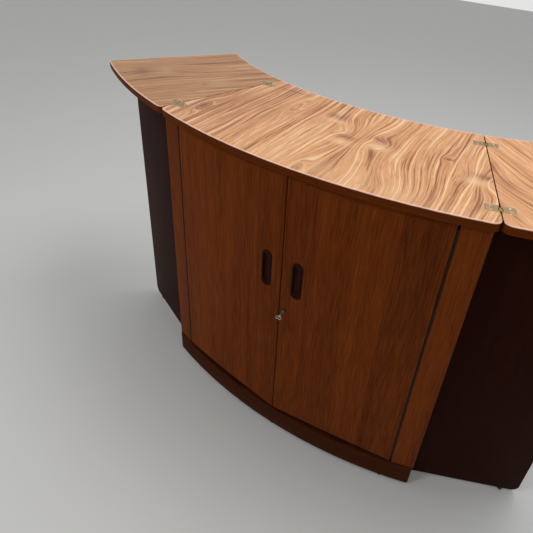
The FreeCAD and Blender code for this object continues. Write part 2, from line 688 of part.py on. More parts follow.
key_x = "key_offset"
lock_room = box("lock_room", ("lock_edge", "lock_edge + lock_length"), ("lock_back", "lock_front"),
                ("lock_bottom", "lock_top"))
key_tunnel = rod("key_tunnel", "key_shank_radius + 2", key_x, ("door_back", "face_radius"),
                 "key_height")
ring_radii = ("face_radius + escutcheon_rise - escutcheon_thickness",
              "face_radius + escutcheon_rise")
ring_room = rod("ring_room", "escutcheon_radius", key_x, (ring_radii[0], "face_radius + 5"),
                "key_height")
cut("door_right_panel", door_plain, lock_room, key_tunnel, ring_room)
cut("door_right_lipping", lipping, lock_room, ring_room)
keeper_room = box("keeper_room", ("-lock_edge - keeper_length", "-lock_edge"),
                  ("lock_back", "lock_front"), ("lock_bottom", "lock_top"))
cut("door_left_panel", mirrored("door_plain_left", door_plain), keeper_room)
cut("door_left_lipping", mirrored("door_lipping_left_plain", lipping), keeper_room)

# ---------------------------------------------------------------- the lock

lock_shell = box("lock_shell", ("lock_edge", "lock_edge + lock_length"),
                 ("lock_back", "lock_front"), ("lock_bottom", "lock_top"))
lock_hollow = box("lock_hollow", ("lock_edge + lock_wall", "lock_edge + lock_length - lock_wall"),
                  ("lock_back + lock_wall", "lock_front - lock_wall"),
                  ("lock_bottom + lock_wall", "lock_top - lock_wall"))
bolt_slot = box("bolt_slot", ("lock_edge - 1", "lock_edge + 2 * lock_wall"),
                ("bolt_back - bolt_play", "bolt_front + bolt_play"),
                ("bolt_bottom - bolt_play", "bolt_top + bolt_play"))
key_bore = rod("key_bore", "key_shank_radius + key_play", key_x, ("lock_back", "face_radius + 5"),
               "key_height")
cut("lock_case", lock_shell, lock_hollow, bolt_slot, key_bore)
cut("escutcheon", rod("escutcheon_disc", "escutcheon_radius", key_x, ring_radii, "key_height"),
    rod("escutcheon_bore", "key_shank_radius + key_play", key_x,
        ("lock_back", "face_radius + 5"), "key_height"))
box("lock_bolt", ("lock_edge", "lock_edge + bolt_length"), ("bolt_back", "bolt_front"),
    ("bolt_bottom", "bolt_top"))
keeper_shell = box("keeper_shell", ("-lock_edge - keeper_length", "-lock_edge"),
                   ("lock_back", "lock_front"), ("lock_bottom", "lock_top"))
keeper_hollow = box("keeper_hollow", ("-lock_edge - keeper_length + lock_wall", "0"),
                    ("bolt_back - keeper_play", "bolt_front + keeper_play"),
                    ("bolt_bottom - keeper_play", "bolt_top + keeper_play"))
cut("lock_keeper", keeper_shell, keeper_hollow)


def key():
    """Shank, bit and a bow of two pierced lobes that lies level when the bolt is drawn."""
    bow_back = "key_tip_radius - 2 * key_lobe_radius"
    shank = rod("key_shank", "key_shank_radius", key_x,
                ("lock_back", f"{bow_back} + key_lobe_radius / 2"), "key_height")
    bit = box("key_bit", (f"{key_x} - key_shank_radius / 2", f"{key_x} + key_shank_radius / 2"),
              ("lock_back + 2 * lock_wall", "lock_back + 2 * lock_wall + key_bit_length"),
              ("key_height - key_bit_reach", "key_height"))
    bow_z = ("key_height - key_bow_thickness / 2", "key_height + key_bow_thickness / 2")
    lobes, holes = [], []
    for tag, sign in (("a", "-"), ("b", "+")):
        x = f"{key_x} {sign} key_lobe_spread"
        rho = "key_tip_radius - key_lobe_radius"
        lobes.append(post(f"key_lobe_{tag}", "key_lobe_radius", bow_z, x, rho))
        holes.append(post(f"key_hole_{tag}", "key_lobe_hole",
                          ("key_height - key_lobe_radius", "key_height + key_lobe_radius"), x, rho))
    return cut("key", fuse("key_solid", shank, bit, *lobes), *holes)


key()

# ---------------------------------------------------------------- door hinges

door_strip = ("door_bottom + strip_margin", "door_top - strip_margin")
for role, side, moving in (("fixed", 1, False), ("moving", -1, True)):
    leaf = strip_leaf(f"door_hinge_{role}_right", side, moving, door_strip)
    place(leaf, "0", "door_axis_radius", "0", "door_angle")
    mirrored(f"door_hinge_{role}_left", leaf)
door_pin = place(group("door_pin_right", strip_pin("door_pin_rod", door_strip)),
                 "0", "door_axis_radius", "0", "door_angle")
group("door_hinge_pins", door_pin, mirrored("door_pin_left", door_pin))

# ---------------------------------------------------------------- the gates

gate_strip = ("plinth_top + strip_margin", "gate_top - strip_margin")
gate_heights = ("gate_floor_gap", "gate_top")


def at_gate(obj, turn):
    """Put a piece from the frame of the right gate's hinge axis into the plan."""
    return place(obj, "-gate_axis_offset", "gate_axis_radius", "0", "seam_angle", turn)


gate_faces = ("-gate_face_rise", "gate_thickness - gate_face_rise")
gate_span = ("wood_offset", "gate_free_edge")
gate_blank = local_box("gate_blank", gate_span, gate_faces, gate_heights)
corner_point = VEC(number(gate_span[1]), number("gate_thickness / 2 - gate_face_rise"),
                   number("gate_floor_gap"))
gate_right = at_gate(rounded("gate_right_panel", gate_blank, ("gate_corner", [corner_point])),
                     "gate_turn")
mirrored("gate_left_panel", gate_right)
moving_leaf = at_gate(strip_leaf("gate_hinge_moving_right", 1, True, gate_strip), "gate_turn")
mirrored("gate_hinge_moving_left", moving_leaf)
fixed_leaf = at_gate(strip_leaf("gate_hinge_fixed_right", -1, False, gate_strip), "90")
mirrored("gate_hinge_fixed_left", fixed_leaf)
gate_pin = at_gate(group("gate_pin_right", strip_pin("gate_pin_rod", gate_strip)), "0")
group("gate_hinge_pins", gate_pin, mirrored("gate_pin_left", gate_pin))

gate_glide = at_gate(
    group("gate_glide_right", local_post("gate_glide_post", "gate_glide_radius",
                                         ("gate_glide_gap", "gate_floor_gap"),
                                         "gate_free_edge - gate_glide_inset",
                                         "gate_thickness / 2 - gate_face_rise")), "gate_turn")
mirrored("gate_glide_left", gate_glide)
block = at_gate(
    group("gate_block_right",
          local_box("gate_block_body",
                    ("gate_free_edge - block_inset - block_length", "gate_free_edge - block_inset"),
                    ("-gate_face_rise - block_play - block_depth", "-gate_face_rise - block_play"),
                    ("top_underside - block_height", "top_underside"))), "gate_turn")
mirrored("gate_block_left", block)

# ---------------------------------------------------------------- writing the parts

NODES = (
    "main_top_core", "main_top_lipping", "main_top_laminate", "side_left", "side_right",
    "back_panel", "bottom_board", "inner_shelf", "shelf_pegs", "front_rail", "stile_left",
    "stile_right", "plinth_front", "plinth_sides", "plinth_back", "floor_glides", "door_stops",
    "flap_plates_main", "flap_screws_main", "door_hinge_fixed_left", "door_hinge_fixed_right",
    "door_hinge_pins", "gate_hinge_fixed_left", "gate_hinge_fixed_right", "gate_hinge_pins",
    "door_left_panel", "door_left_lipping", "pull_left", "door_hinge_moving_left", "lock_keeper",
    "door_right_panel", "door_right_lipping", "pull_right", "door_hinge_moving_right",
    "lock_case", "escutcheon", "key", "lock_bolt",
    "leaf_left_core", "leaf_left_lipping", "leaf_left_laminate", "flap_plates_leaf_left",
    "flap_screws_leaf_left", "gate_block_left", "leaf_right_core", "leaf_right_lipping",
    "leaf_right_laminate", "flap_plates_leaf_right", "flap_screws_leaf_right", "gate_block_right",
    "flap_links_left", "flap_links_right",
    "gate_left_panel", "gate_hinge_moving_left", "gate_glide_left",
    "gate_right_panel", "gate_hinge_moving_right", "gate_glide_right",
)

doc.recompute()
for obj in doc.Objects:
    if "Invalid" in obj.State or "Error" in obj.State:
        raise RuntimeError(f"{obj.Name} did not build: {obj.State}")

os.makedirs("parts", exist_ok=True)
for node in NODES:
    piece = doc.getObject(node)
    piece.Label = node
    if piece.Shape.isNull() or not piece.Shape.isValid() or not piece.Shape.Solids:
        raise RuntimeError(f"{node} has no sound shape")
    piece.Shape.exportStep(f"parts/{node}.step")
print(f"{len(NODES)} parts written")
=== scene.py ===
"""Looks of a curved bar cabinet: figured laminate top with two fold-over leaves, veneered doors,
swing-out gates, let-in pulls and brass counter-flap hinges.  Everything is in metres, in the
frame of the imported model.  Curved boards are drawn on one plan arc: a point has a station (its
angle round the arc's upright axis, positive to the right) and a radius.
"""
import json
import math

import bmesh
import bpy
from mathutils import Matrix, Vector
from mathutils.geometry import delaunay_2d_cdt
from mathutils.kdtree import KDTree

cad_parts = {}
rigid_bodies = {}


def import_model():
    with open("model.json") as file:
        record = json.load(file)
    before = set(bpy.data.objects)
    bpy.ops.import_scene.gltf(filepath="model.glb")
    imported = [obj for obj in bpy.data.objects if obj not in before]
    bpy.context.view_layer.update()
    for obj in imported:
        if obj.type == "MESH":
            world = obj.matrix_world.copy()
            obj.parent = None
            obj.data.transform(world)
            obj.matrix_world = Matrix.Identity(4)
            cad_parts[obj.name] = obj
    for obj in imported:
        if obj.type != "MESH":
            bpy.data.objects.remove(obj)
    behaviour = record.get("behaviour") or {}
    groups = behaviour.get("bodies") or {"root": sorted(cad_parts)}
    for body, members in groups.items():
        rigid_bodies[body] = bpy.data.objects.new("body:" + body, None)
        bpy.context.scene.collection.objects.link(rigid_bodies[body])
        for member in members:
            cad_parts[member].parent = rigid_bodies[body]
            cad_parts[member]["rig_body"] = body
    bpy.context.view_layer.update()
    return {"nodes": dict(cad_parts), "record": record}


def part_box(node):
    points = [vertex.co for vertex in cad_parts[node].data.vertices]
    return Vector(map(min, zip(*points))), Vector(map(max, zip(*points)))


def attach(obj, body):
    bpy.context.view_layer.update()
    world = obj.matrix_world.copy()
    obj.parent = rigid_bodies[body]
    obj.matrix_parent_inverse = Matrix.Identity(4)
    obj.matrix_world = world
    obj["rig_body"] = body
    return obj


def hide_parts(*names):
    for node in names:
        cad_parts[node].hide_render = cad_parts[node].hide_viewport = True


bl_info = {
    "name": "Curved bar cabinet",
    "version": (1, 0, 0),
    "blender": (4, 5, 0),
    "location": "View3D > Sidebar > Bar cabinet",
    "description": "Builds the visible boards, fittings and finishes of a curved bar cabinet",
    "category": "Object",
}

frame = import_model()
SLOTS = {part["node"]: part["material_slot"] for part in frame["record"]["subparts"]}
MM = 0.001
TOP_LOW, TOP_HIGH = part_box("main_top_laminate")
ARC_STEP = math.radians(0.5)

# the flap hinges: plates let in almost flush, whose barrels take turns with those of the links
PLATE_TOP = TOP_HIGH.z - 0.1 * MM
PLATE_LOW = PLATE_TOP - 1.8 * MM
PIN_OFFSET, BARREL = 3.2 * MM, 1.7 * MM
AXLE = PLATE_TOP - BARREL
BARREL_ROOM, LINK_ROOM = 5.3 * MM, 7.0 * MM
SCREWS, SCREW_HEAD = [(20 * MM, end * 8 * MM) for end in (-1, 1)], 3.3 * MM


def linear(code):
    """A hex sRGB colour as linear red, green, blue and alpha."""
    parts = [int(code[i:i + 2], 16) / 255 for i in (1, 3, 5)]
    return tuple(c / 12.92 if c <= 0.04045 else ((c + 0.055) / 1.055) ** 2.4 for c in parts) + (1,)


def length(name, description, default):
    return bpy.props.FloatProperty(name=name, description=description, default=default,
                                   min=0, unit="LENGTH", subtype="DISTANCE", precision=5)


def angle(name, description, degrees):
    return bpy.props.FloatProperty(name=name, description=description,
                                   default=math.radians(degrees), subtype="ANGLE")


def strength(name, description, default, unit):
    return bpy.props.FloatProperty(name=name, description=description, default=default, min=0,
                                   unit=unit)


def colour(name, description, code):
    return bpy.props.FloatVectorProperty(name=name, description=description, size=4, min=0, max=1,
                                         subtype="COLOR", default=linear(code))


class PlanSizes(bpy.types.PropertyGroup):
    """Sizes of the boards, all on one plan arc."""
    front_radius: length("Front radius", "Front edge of the top from the arc's axis", 1.540)
    rear_radius: length("Rear radius", "Rear edge of the top from the arc's axis", 1.105)
    face_radius: length("Face radius", "Doors and stiles from the arc's axis", 1.532)
    plinth_radius: length("Plinth radius", "Face of the plinth from the arc's axis", 1.535)
    back_radius: length("Back radius", "Curved back from the arc's axis", 1.150)
    seam: angle("Seam", "Station of the seams", 17.1)
    leaf_end: angle("Leaf end", "Station of a leaf's outer end", 34.15)
    leaf_flare: length("Leaf flare", "Centre of a leaf's front edge from the arc's axis", 51 * MM)
    door_end: angle("Door end", "Station of a door's hinge line", 14.25)
    seam_gap: length("Seam gap", "Half the gap at a seam", 0.75 * MM)
    seam_corner: length("Seam corner", "Round of the front corners at the seams", 19 * MM)
    small_corner: length("Small corner", "Round of the other corners of the top", 6 * MM)
    board: length("Board", "Thickness of a door or gate", 18 * MM)
    softness: length("Softness", "Round of a lacquered board's edges", 0.9 * MM)
    flap_reach: length("Flap reach", "Hinge plate from the seam", 32 * MM)
    flap_length: length("Flap length", "Hinge plate along the seam", 28 * MM)
    flap_front: length("Front flap", "Front flap hinge from the arc's axis", 1.482)
    flap_rear: length("Rear flap", "Rear flap hinge from the arc's axis", 1.165)
    pull_station: angle("Pull station", "Station of a pull", 1.72)
    pull_height: length("Pull height", "Middle of a pull from the floor", 0.630)
    pull_length: length("Pull length", "Pull, end to end", 0.119)
    pull_width: length("Pull width", "Pull, side to side", 0.032)
    pull_rise: length("Pull rise", "Rim of the pull in front of the door", 1.8 * MM)
    pull_depth: length("Pull depth", "Cup of the pull behind the face", 10 * MM)
    key_offset: length("Key offset", "Key's axis from the middle of the front", 15 * MM)
    key_height: length("Key height", "Key's axis from the floor", 0.512)
    key_reach: length("Key reach", "Key's bow ahead of the door's face", 30 * MM)
    ring: length("Keyhole ring", "Round of the ring at the keyhole", 8 * MM)
    gate_width: length("Gate width", "Gate, hinge edge to free edge", 0.312)
    gate_corner: length("Gate corner", "Round of a gate's lower outer corner", 22 * MM)
    gate_turn: angle("Gate turn", "Open gate from square to the seam", 5.0)
    hinge_line: length("Hinge line", "Hinge axis to the board beside it", 3.0 * MM)
    knuckle: length("Knuckle", "Round of a strip hinge's knuckle", 2.7 * MM)
    knuckle_pitch: length("Knuckle pitch", "Two knuckles of a strip hinge", 0.026)
    side_overhang: length("Side overhang", "Seam to the side of a stile", 9 * MM)
    side_outer: length("Side", "Seam to the outside of a side board", 31 * MM)
    stile_depth: length("Stile depth", "Stile, front to back", 35 * MM)


class FinishColours(bpy.types.PropertyGroup):
    """Colours of the finishes."""
    laminate_cream: colour("Laminate cream", "Palest streaks of the figured laminate", "#EBC196")
    laminate_light: colour("Laminate light", "Light bands of the figured laminate", "#D9A274")
    laminate_mid: colour("Laminate middle", "Middle tone of the figured laminate", "#C38859")
    laminate_dark: colour("Laminate dark", "Growth lines of the figured laminate", "#8B5638")
    # the mauve serves the print's own stains, and also the broad painted shade at the rear left of the
    # main top
    laminate_mauve: colour("Laminate mauve", "Stains round the figures", "#83503E")
    teak: colour("Teak", "Middle tone of the door veneer", "#7E3C0E")
    teak_dark: colour("Teak dark", "Pores and late growth of the door veneer", "#451B05")
    # the gate tone is painted shade: the same wood made nearly black for the shade under the leaves
    gate: colour("Gate", "Middle tone of the gate veneer", "#2C0F07")
    edge: colour("Edge", "Solid edge round the top", "#652C06")
    # the pale arris tone: partly scuffed wood and bare paper, partly a painted highlight along the
    # arrises
    worn: colour("Worn arris", "Rubbed upper arris of the solid edge", "#FFD0B8")
    resin: colour("Resin", "Pulls", "#1E0603")
    brass: colour("Brass", "Flap hinges", "#AA8C65")
    steel: colour("Steel", "Screws and key", "#C9C4B8")


class StudioSettings(bpy.types.PropertyGroup):
    """Light and floor of the studio."""
    floor: colour("Floor", "Plain pale floor", "#D8D8D6")
    sky: strength("Sky", "Strength of the even light from all round", 0.45, "NONE")
    key: strength("Key lamp", "Power of the large lamp overhead", 47, "POWER")
    fill: strength("Fill lamp", "Power of the lamp before the doors", 16, "POWER")


def sizes():
    return bpy.context.scene.bar_sizes


def tones():
    return bpy.context.scene.bar_colours


# ---------------------------------------------------------------- mesh code

def axis_y():
    """Row-frame y of the arc's upright axis."""
    s = sizes()
    round_line = s.rear_radius + s.small_corner
    far = round_line * math.cos(s.leaf_end - math.asin(s.small_corner / round_line)) - s.small_corner
    return (s.face_radius + s.key_reach + far) / 2


def plan(station, radius, across=0.0):
    """A point of the plan: along a station from the arc's axis, then across it."""
    s, c = math.sin(station), math.cos(station)
    return Vector((radius * s + across * c, axis_y() - radius * c + across * s))


def on_arc(point, depth):
    """A point of a curved board from (distance round its face, height) and how far before it."""
    radius = sizes().face_radius
    return Vector((*plan(point[0] / radius, radius + depth), point[1]))


def corner_arc(centre, start, end, radius, steps=6):
    """Points round a corner from one direction to another, in radians."""
    turns = [start + (end - start) * i / steps for i in range(steps + 1)]
    return [Vector((centre[0] + radius * math.cos(t), centre[1] + radius * math.sin(t)))
            for t in turns]


def soften(points, rounds, steps=6):
    """Round the named corners of a polygon: {index: radius}."""
    points, out = [Vector(point) for point in points], []
    for i, here in enumerate(points):
        if i not in rounds:
            out.append(here)
            continue
        before, after = points[i - 1], points[(i + 1) % len(points)]
        a, b = (before - here).normalized(), (after - here).normalized()
        half = math.acos(max(-1, min(1, a.dot(b)))) / 2
        reach = rounds[i] / math.tan(half)
        p, q = here + a * reach, here + b * reach
        centre = here + (a + b).normalized() * (rounds[i] / math.sin(half))
        start = math.atan2(p.y - centre.y, p.x - centre.x)
        turn = math.atan2(q.y - centre.y, q.x - centre.x) - start
        turn = (turn + math.pi) % (2 * math.pi) - math.pi
        out += corner_arc(centre, start, start + turn, rounds[i], steps)
    return out


def area(loop):
    return sum(a.x * b.y - b.x * a.y for a, b in zip(loop, loop[1:] + loop[:1])) / 2


def inset(loop, amount):
    """Move a closed loop inwards (or a hole's loop into the board) by an amount."""
    out = []
    for i, here in enumerate(loop):
        a = (here - loop[i - 1]).normalized()
        b = (loop[(i + 1) % len(loop)] - here).normalized()
        na, nb = Vector((-a.y, a.x)), Vector((-b.y, b.x))
        mid = na + nb
        out.append(here + mid * (amount / max(mid.length_squared / 2, 0.4)))
    return out


def placed(name, data):
    """A new object in the scene."""
    obj = bpy.data.objects.new(name, data)
    bpy.context.scene.collection.objects.link(obj)
    return obj


def mesh_object(name, verts, faces, *materials):
    mesh = bpy.data.meshes.new(name)
    mesh.from_pydata([tuple(v) for v in verts], [], [tuple(f) for f in faces])
    for material in materials:
        mesh.materials.append(material)
    return placed(name, mesh)


def tidy(obj):
    """Weld coincident points, turn faces outwards and smooth what isn't a corner."""
    work = bmesh.new()
    work.from_mesh(obj.data)
    bmesh.ops.remove_doubles(work, verts=work.verts, dist=3e-6)
    bmesh.ops.recalc_face_normals(work, faces=work.faces)
    work.to_mesh(obj.data)
    work.free()
    obj.data.shade_smooth()
    obj.data.set_sharp_from_angle(angle=math.radians(38))
    return obj


def join(name, pieces):
    """Several meshes as one piece."""
    with bpy.context.temp_override(active_object=pieces[0], object=pieces[0],
                                   selected_objects=pieces, selected_editable_objects=pieces):
        bpy.ops.object.join()
    pieces[0].name = pieces[0].data.name = name
    return pieces[0]


def mirror_image(piece):
    """A copy of a piece on the other side of the cabinet."""
    twin = placed(piece.name, piece.data.copy())
    twin.data.transform(Matrix.Scale(-1, 4, (1, 0, 0)))
    twin.data.flip_normals()
    return twin


def loft(name, rows, material):
    """A skin over rows of points, each row a closed loop; its two ends are capped."""
    n = len(rows[0])
    verts = [point for row in rows for point in row]
    faces = [(k * n + i, k * n + (i + 1) % n, (k + 1) * n + (i + 1) % n, (k + 1) * n + i)
             for k in range(len(rows) - 1) for i in range(n)]
    faces += [range(n), range(len(verts) - n, len(verts))]
    return tidy(mesh_object(name, verts, faces, FINISHES[material]))


def circle(centre, radius, count=20):
    return corner_arc(centre, 0, 2 * math.pi, radius, count)[:-1]


def slot_shape(centre, width, height):
    """An upright slot: two half rounds joined by straight sides."""
    r, reach = width / 2, (height - width) / 2
    return (corner_arc((centre[0], centre[1] + reach), 0, math.pi, r, 10)
            + corner_arc((centre[0], centre[1] - reach), math.pi, 2 * math.pi, r, 10))


def board(name, material, outline, to_space, back, front, edges, holes=(), grid=0.02, edging=None):
    """A board with softened edges: an outline and holes in a flat chart, carried into space by
    to_space(point, depth).  The front is the greater depth and edges holds the rounds of the
    back and the front edge.  A hole is (loop, floor depth), or (loop, None) right through.  The
    grid is the spacing of points within a face, and the edging covers the sides."""
    floors = [None] + [floor for _, floor in holes]
    loops = [[Vector(p) for p in loop] for loop in (outline, *(hole for hole, _ in holes))]
    for i, loop in enumerate(loops):
        if (area(loop) > 0) != (i == 0):
            loop.reverse()
    turns = [k * math.pi / 6 for k in range(4)]
    rear = [(edges[0] * (1 - math.sin(t)), back + edges[0] * (1 - math.cos(t))) for t in turns]
    fore = [(edges[1] * (1 - math.cos(t)), front - edges[1] * (1 - math.sin(t))) for t in turns]
    rear, fore = (rows if rows[0] != rows[-1] else rows[:1] for rows in (rear, fore))
    verts, faces = [], []

    def ring(loop, amount, depth):
        first = len(verts)
        verts.extend(to_space(p, depth) for p in inset(loop, amount))
        return range(first, len(verts))

    for loop, floor in zip(loops, floors):
        rows = [ring(loop, *place) for place in (rear if floor is None else [(0, floor)]) + fore]
        n = len(loop)
        for low, high in zip(rows, rows[1:]):
            faces += [(low[i], low[(i + 1) % n], high[(i + 1) % n], high[i]) for i in range(n)]
        if floor is not None:
            faces.append(tuple(rows[0])[::-1])
    sides = len(faces)
    for amount, depth, flip, wanted in (
            (fore[-1][0], front, False, loops),
            (rear[0][0], back, True, [l for l, f in zip(loops, floors) if f is None])):
        rims = [inset(loop, amount) for loop in wanted]
        points, triangles = fill(rims, grid)
        base = len(verts)
        verts += [to_space(p, depth) for p in points]
        faces += [tuple(base + k for k in (tri[::-1] if flip else tri)) for tri in triangles]
    obj = mesh_object(name, verts, faces, *(FINISHES[key] for key in (material, edging) if key))
    for side in obj.data.polygons[:sides] if edging else ():
        side.material_index = 1
    return tidy(obj)


def fill(rims, grid):
    """Triangles for the area between a rim and its holes, with an even grid of points inside."""
    corners = [p for rim in rims for p in rim]
    lines, start = [], 0
    for rim in rims:
        lines += [(start + i, start + (i + 1) % len(rim)) for i in range(len(rim))]
        start += len(rim)
    low = Vector((min(p.x for p in corners), min(p.y for p in corners)))
    span = Vector((max(p.x for p in corners), max(p.y for p in corners))) - low
    nx, ny = (max(1, int(span[k] / grid)) for k in (0, 1))
    index = KDTree(len(corners))
    for i, p in enumerate(corners):
        index.insert((p.x, p.y, 0), i)
    index.balance()
    inner = [Vector((low.x + span.x * (i + 0.5) / nx, low.y + span.y * (j + 0.5) / ny))
             for i in range(nx) for j in range(ny)]
    inner = [p for p in inner if index.find((p.x, p.y, 0))[2] > grid * 0.35 and inside(p, rims)]
    points, _, triangles, _, _, _ = delaunay_2d_cdt(corners + inner, lines, [], 2, 1e-7)
    kept = [tri for tri in triangles
            if inside(sum((points[k] for k in tri), Vector((0, 0))) / 3, rims)]
    return points, [tuple(tri) for tri in kept]


def inside(point, loops):
    """Whether a point lies within the first loop and outside the others."""
    count = False
    for loop in loops:
        for a, b in zip(loop, loop[1:] + loop[:1]):
            if (a.y > point.y) != (b.y > point.y):
                if point.x < a.x + (point.y - a.y) * (b.x - a.x) / (b.y - a.y):
                    count = not count
    return count


def mirrored(loop):
    return [Vector((-x, y)) for x, y in reversed(loop)]


def flat(point, depth):
    """The chart of the level boards: plan position, with depth as height."""
    return Vector((*point, depth))


def hinge_frame(origin, turn):
    """A chart of (across, height) with depth towards the viewer, at an upright hinge axis."""
    across = Vector((math.cos(turn), math.sin(turn)))
    deep = Vector((-across.y, across.x))

    def to_space(point, depth):
        return Vector((*(origin + across * point[0] - deep * depth), point[1]))
    return to_space


def sector(outer, inner, low, high):
    """Plan of a piece of a ring between two side planes, each (station, inset parallel to it)."""
    def arc(radius):
        a, b = low[0] + math.asin(low[1] / radius), high[0] - math.asin(high[1] / radius)
        count = max(2, int((b - a) / ARC_STEP))
        return [plan(a + (b - a) * i / count, radius) for i in range(count + 1)]
    return arc(outer) + arc(inner)[::-1]


# ---------------------------------------------------------------- finishes

# the setting that a node's mode stands for
MODES = {"Math": "operation", "VectorMath": "operation", "Mix": "data_type",
         "TexNoise": "noise_dimensions", "TexWhiteNoise": "noise_dimensions"}


def node(kind, *values, named=None, stops=(), tree=None):
    """Add a node, as kind or kind:mode, and give its first output.  The values, numbers or other
    nodes' outputs, go to its open inputs in order, or to the inputs that are named.  The tree is
    needed only where all values are numbers."""
    kind, _, mode = kind.partition(":")
    named = named or {}
    sockets = [v for v in (*values, *named.values()) if isinstance(v, bpy.types.NodeSocket)]
    tree = tree or sockets[0].id_data
    made = tree.nodes.new("ShaderNode" + kind)
    if mode:
        setattr(made, MODES[kind], mode)
    wires = list(zip([slot for slot in made.inputs if slot.enabled], values))
    for slot, value in wires + [(made.inputs[name], value) for name, value in named.items()]:
        if value in sockets:
            tree.links.new(value, slot)
        else:
            slot.default_value = value
    if stops:
        ramp = made.color_ramp.elements
        while len(ramp) < len(stops):
            ramp.new(0.5)
        for stop, (position, value) in zip(ramp, stops):
            stop.position, stop.color = position, value
    return next((slot for slot in made.outputs if slot.enabled), None)


def shaded(tone, share):
    """A colour made darker or lighter."""
    return tuple(min(1, value * share) for value in tone[:3]) + (1,)


def empty_tree(owner):
    owner.use_nodes = True
    owner.node_tree.nodes.clear()
    return owner.node_tree


def finish(name):
    """A fresh material and the coordinate of the piece that it covers."""
    material = bpy.data.materials.new(name)
    return material, node("TexCoord", tree=empty_tree(material)).node.outputs["Object"]


def coated(material, tone, roughness, more=None):
    """Give a material its shader: colour, roughness and whatever else it has."""
    node("OutputMaterial", node("BsdfPrincipled", named={
        "Base Color": tone, "Roughness": roughness, **(more or {})}))
    return material


def cloud(vector, cells, detail=2.0, rough=0.5, space="3D"):
    """Noise with so many cells to the metre in each direction."""
    scaled = node("VectorMath:MULTIPLY", vector, cells)
    return node("TexNoise:" + space, scaled, 1.0, detail, rough)


def from_axis(place):
    """A point of the plan as its way from the arc's axis: aside, on either side, and ahead."""
    way = node("VectorMath:MULTIPLY_ADD", place, (1, 1, 0), (0, -axis_y(), 0))
    return node("VectorMath:ABSOLUTE", way)


def short_of(way, station):
    """How far a point is short of a station's line."""
    return node("VectorMath:DOT_PRODUCT", way, (-math.cos(station), math.sin(station), 0))


def filed_rim(place, leaf):
    """Share of pale on the rim of a sheet, 4 mm wide: partly bare paper where it was filed, partly a
    painted highlight, and none at the seams, where it stays dark as painted shade.
    """
    s, way = sizes(), from_axis(place)
    flare = s.leaf_flare if leaf else 0.0
    centre = (flare * math.cos(s.seam), -flare * math.sin(s.seam), 0)
    front = node("Math:SUBTRACT", s.front_radius, node("VectorMath:DISTANCE", way, centre))
    rear = node("Math:SUBTRACT", node("VectorMath:LENGTH", way), s.rear_radius)
    nearest = node("Math:MINIMUM", front, rear)
    if leaf:
        nearest = node("Math:MINIMUM", nearest, short_of(way, s.leaf_end))
    return node("MapRange", nearest, 3.0 * MM, 4.5 * MM, 0.45, 0.0)


def off_seam(place):
    """Nought on the two faces that meet at a seam, one elsewhere."""
    short = short_of(from_axis(place), sizes().seam)
    return node("MapRange", node("Math:ABSOLUTE", short), 1.8 * MM, 3.0 * MM)


